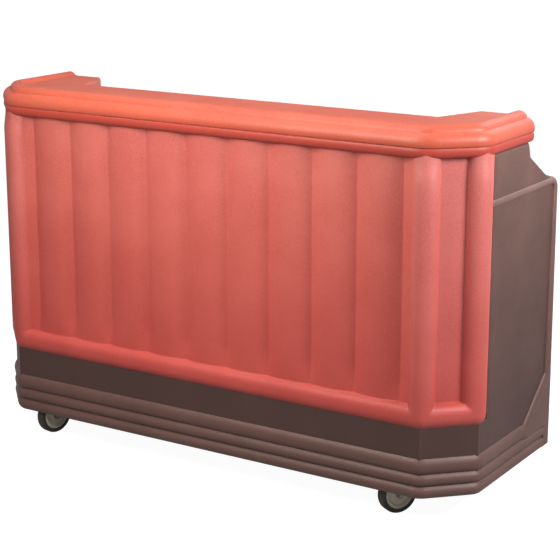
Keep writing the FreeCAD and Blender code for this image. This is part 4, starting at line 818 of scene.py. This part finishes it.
# %% Finishes of the CAD nodes
finishes = {"red_top": red_top, "red_panel": red_panel, "brown_body": brown_body, "grey_liner": grey_liner,
            "black_plastic": black_nylon, "hub_plastic": hub_plastic, "tyre_rubber": tyre_rubber,
            "zinc_steel": zinc_steel, "brake_steel": black_steel, "stainless": stainless, "brass": brass,
            "red_lever": red_vinyl}
for part in frame["record"]["subparts"]:
    node = frame["nodes"][part["node"]]
    node.data.materials.clear()
    node.data.materials.append(finishes[part["material_slot"]])

# %% [markdown]
# The studio is a pale floor and a bright surround. More light could make them white, but it would also
# flood the bar. So they glow white only for rays that look at them, less in reflections, and give the bar
# little light of their own. A Light Path node tells these rays apart.

# %% Floor and surround
FLOOR_HALF, WHITE = 30, (1, 1, 1, 1)


def seen(tree, to_camera, to_gloss, to_rest):
    """Strength of a glow: one for camera rays, one for glossy and transmission rays, one for the rest."""
    path = add(tree, "LightPath").outputs
    gloss = add(tree, "Math", (), {0: path["Is Glossy Ray"], 1: path["Is Transmission Ray"]},
                operation="MAXIMUM")
    first = add(tree, "MapRange", {"To Min": to_rest, "To Max": to_gloss}, {"Value": gloss.outputs[0]})
    return add(tree, "MapRange", {"To Max": to_camera},
               {"Value": path["Is Camera Ray"], "To Min": first.outputs[0]}).outputs[0]


floor_mesh = bpy.data.meshes.new("floor")
floor_mesh.from_pydata([(x * FLOOR_HALF, y * FLOOR_HALF, 0) for x, y in ((-1, -1), (1, -1), (1, 1), (-1, 1))],
                       [], [(0, 1, 2, 3)])
floor = bpy.data.objects.new("floor", floor_mesh)
bpy.context.scene.collection.objects.link(floor)
pale_floor, tree, shader, _ = finish("pale_floor")
shader.inputs["Base Color"].default_value = linear("#8E8E8E")
shader.inputs["Roughness"].default_value = 0.9
shader.inputs["Emission Color"].default_value = WHITE
tree.links.new(seen(tree, 0.95, 0.2, 0.0), shader.inputs["Emission Strength"])
floor_mesh.materials.append(pale_floor)

world = bpy.data.worlds.new("studio")
bpy.context.scene.world = world
world.use_nodes = True
tree = world.node_tree
tree.links.new(seen(tree, 1.0, 0.4, 0.17), tree.nodes["Background"].inputs["Strength"])
tree.nodes["Background"].inputs["Color"].default_value = WHITE
print("floor", 2 * FLOOR_HALF, "m wide, under", world.name)

# %% [markdown]
# The photograph's light comes from the guest's side, near the middle of the bar: pleats left of the middle
# are bright on their right, the others on their left. A round lamp in front, a little above the bar top,
# gives that. A wide lamp overhead softens it and lights the top, one on the right lights the corner and
# the end, and two behind show the bartender's side.

# %% Lamps


def soft_lamp(name, place, aim, size, power, colour="#FFFFFF"):
    """Round area lamp at a place, turned to shine at a point; size in metres, power in watts."""
    lamp = bpy.data.lights.new(name, "AREA")
    lamp.shape, lamp.size, lamp.energy = "DISK", size, power
    lamp.color = linear(colour)[:3]
    made = bpy.data.objects.new(name, lamp)
    made.location = place
    made.rotation_euler = (Vector(aim) - Vector(place)).to_track_quat("-Z", "Y").to_euler()
    made.visible_camera = False
    bpy.context.scene.collection.objects.link(made)


soft_lamp("lamp_over_the_guest", (-0.08, -1.5, 1.8), (0.0, -0.3, 0.9), 1.1, 29, "#FFF3E6")
soft_lamp("lamp_overhead_left", (-0.3, -0.6, 3.4), (0.1, -0.2, 1.1), 2.6, 38, "#FFF6EC")
soft_lamp("lamp_right_side", (2.6, -0.3, 1.9), (0.87, -0.1, 0.75), 0.9, 58, "#FFF8F6")
soft_lamp("lamp_behind", (1.5, 2.5, 3.4), (0.2, 0.2, 0.8), 1.8, 28)
soft_lamp("lamp_bartender", (0.6, 4.6, 1.6), (0.0, 0.2, 0.7), 4.0, 54)

# %% [markdown]
# The camera stands to the right of the guest's side and looks down a little with a long lens. Its place
# was solved from the edges of the bar, which is surer than moving it by eye. The picture is 560 by 560, so
# a focal length in pixels turns into millimetres on Blender's 36 mm sensor by the ratio of the widths.

# %% Camera
FOCUS_PX, PICTURE_PX = 1612.0, 560.0
YAW, PITCH_DOWN = math.radians(32.39), math.radians(14.54)
eye = bpy.data.cameras.new("camera")
eye.sensor_width = 36.0
eye.lens = FOCUS_PX / PICTURE_PX * eye.sensor_width
camera = bpy.data.objects.new("camera", eye)
camera.location = (2.855, -4.362, 1.945)
camera.rotation_euler = (math.pi / 2 - PITCH_DOWN, 0, YAW)
bpy.context.scene.collection.objects.link(camera)
bpy.context.scene.camera = camera
bpy.context.scene.view_settings.view_transform = "Standard"
print("lens", round(eye.lens, 1), "mm, looking down", round(math.degrees(PITCH_DOWN), 1), "degrees")
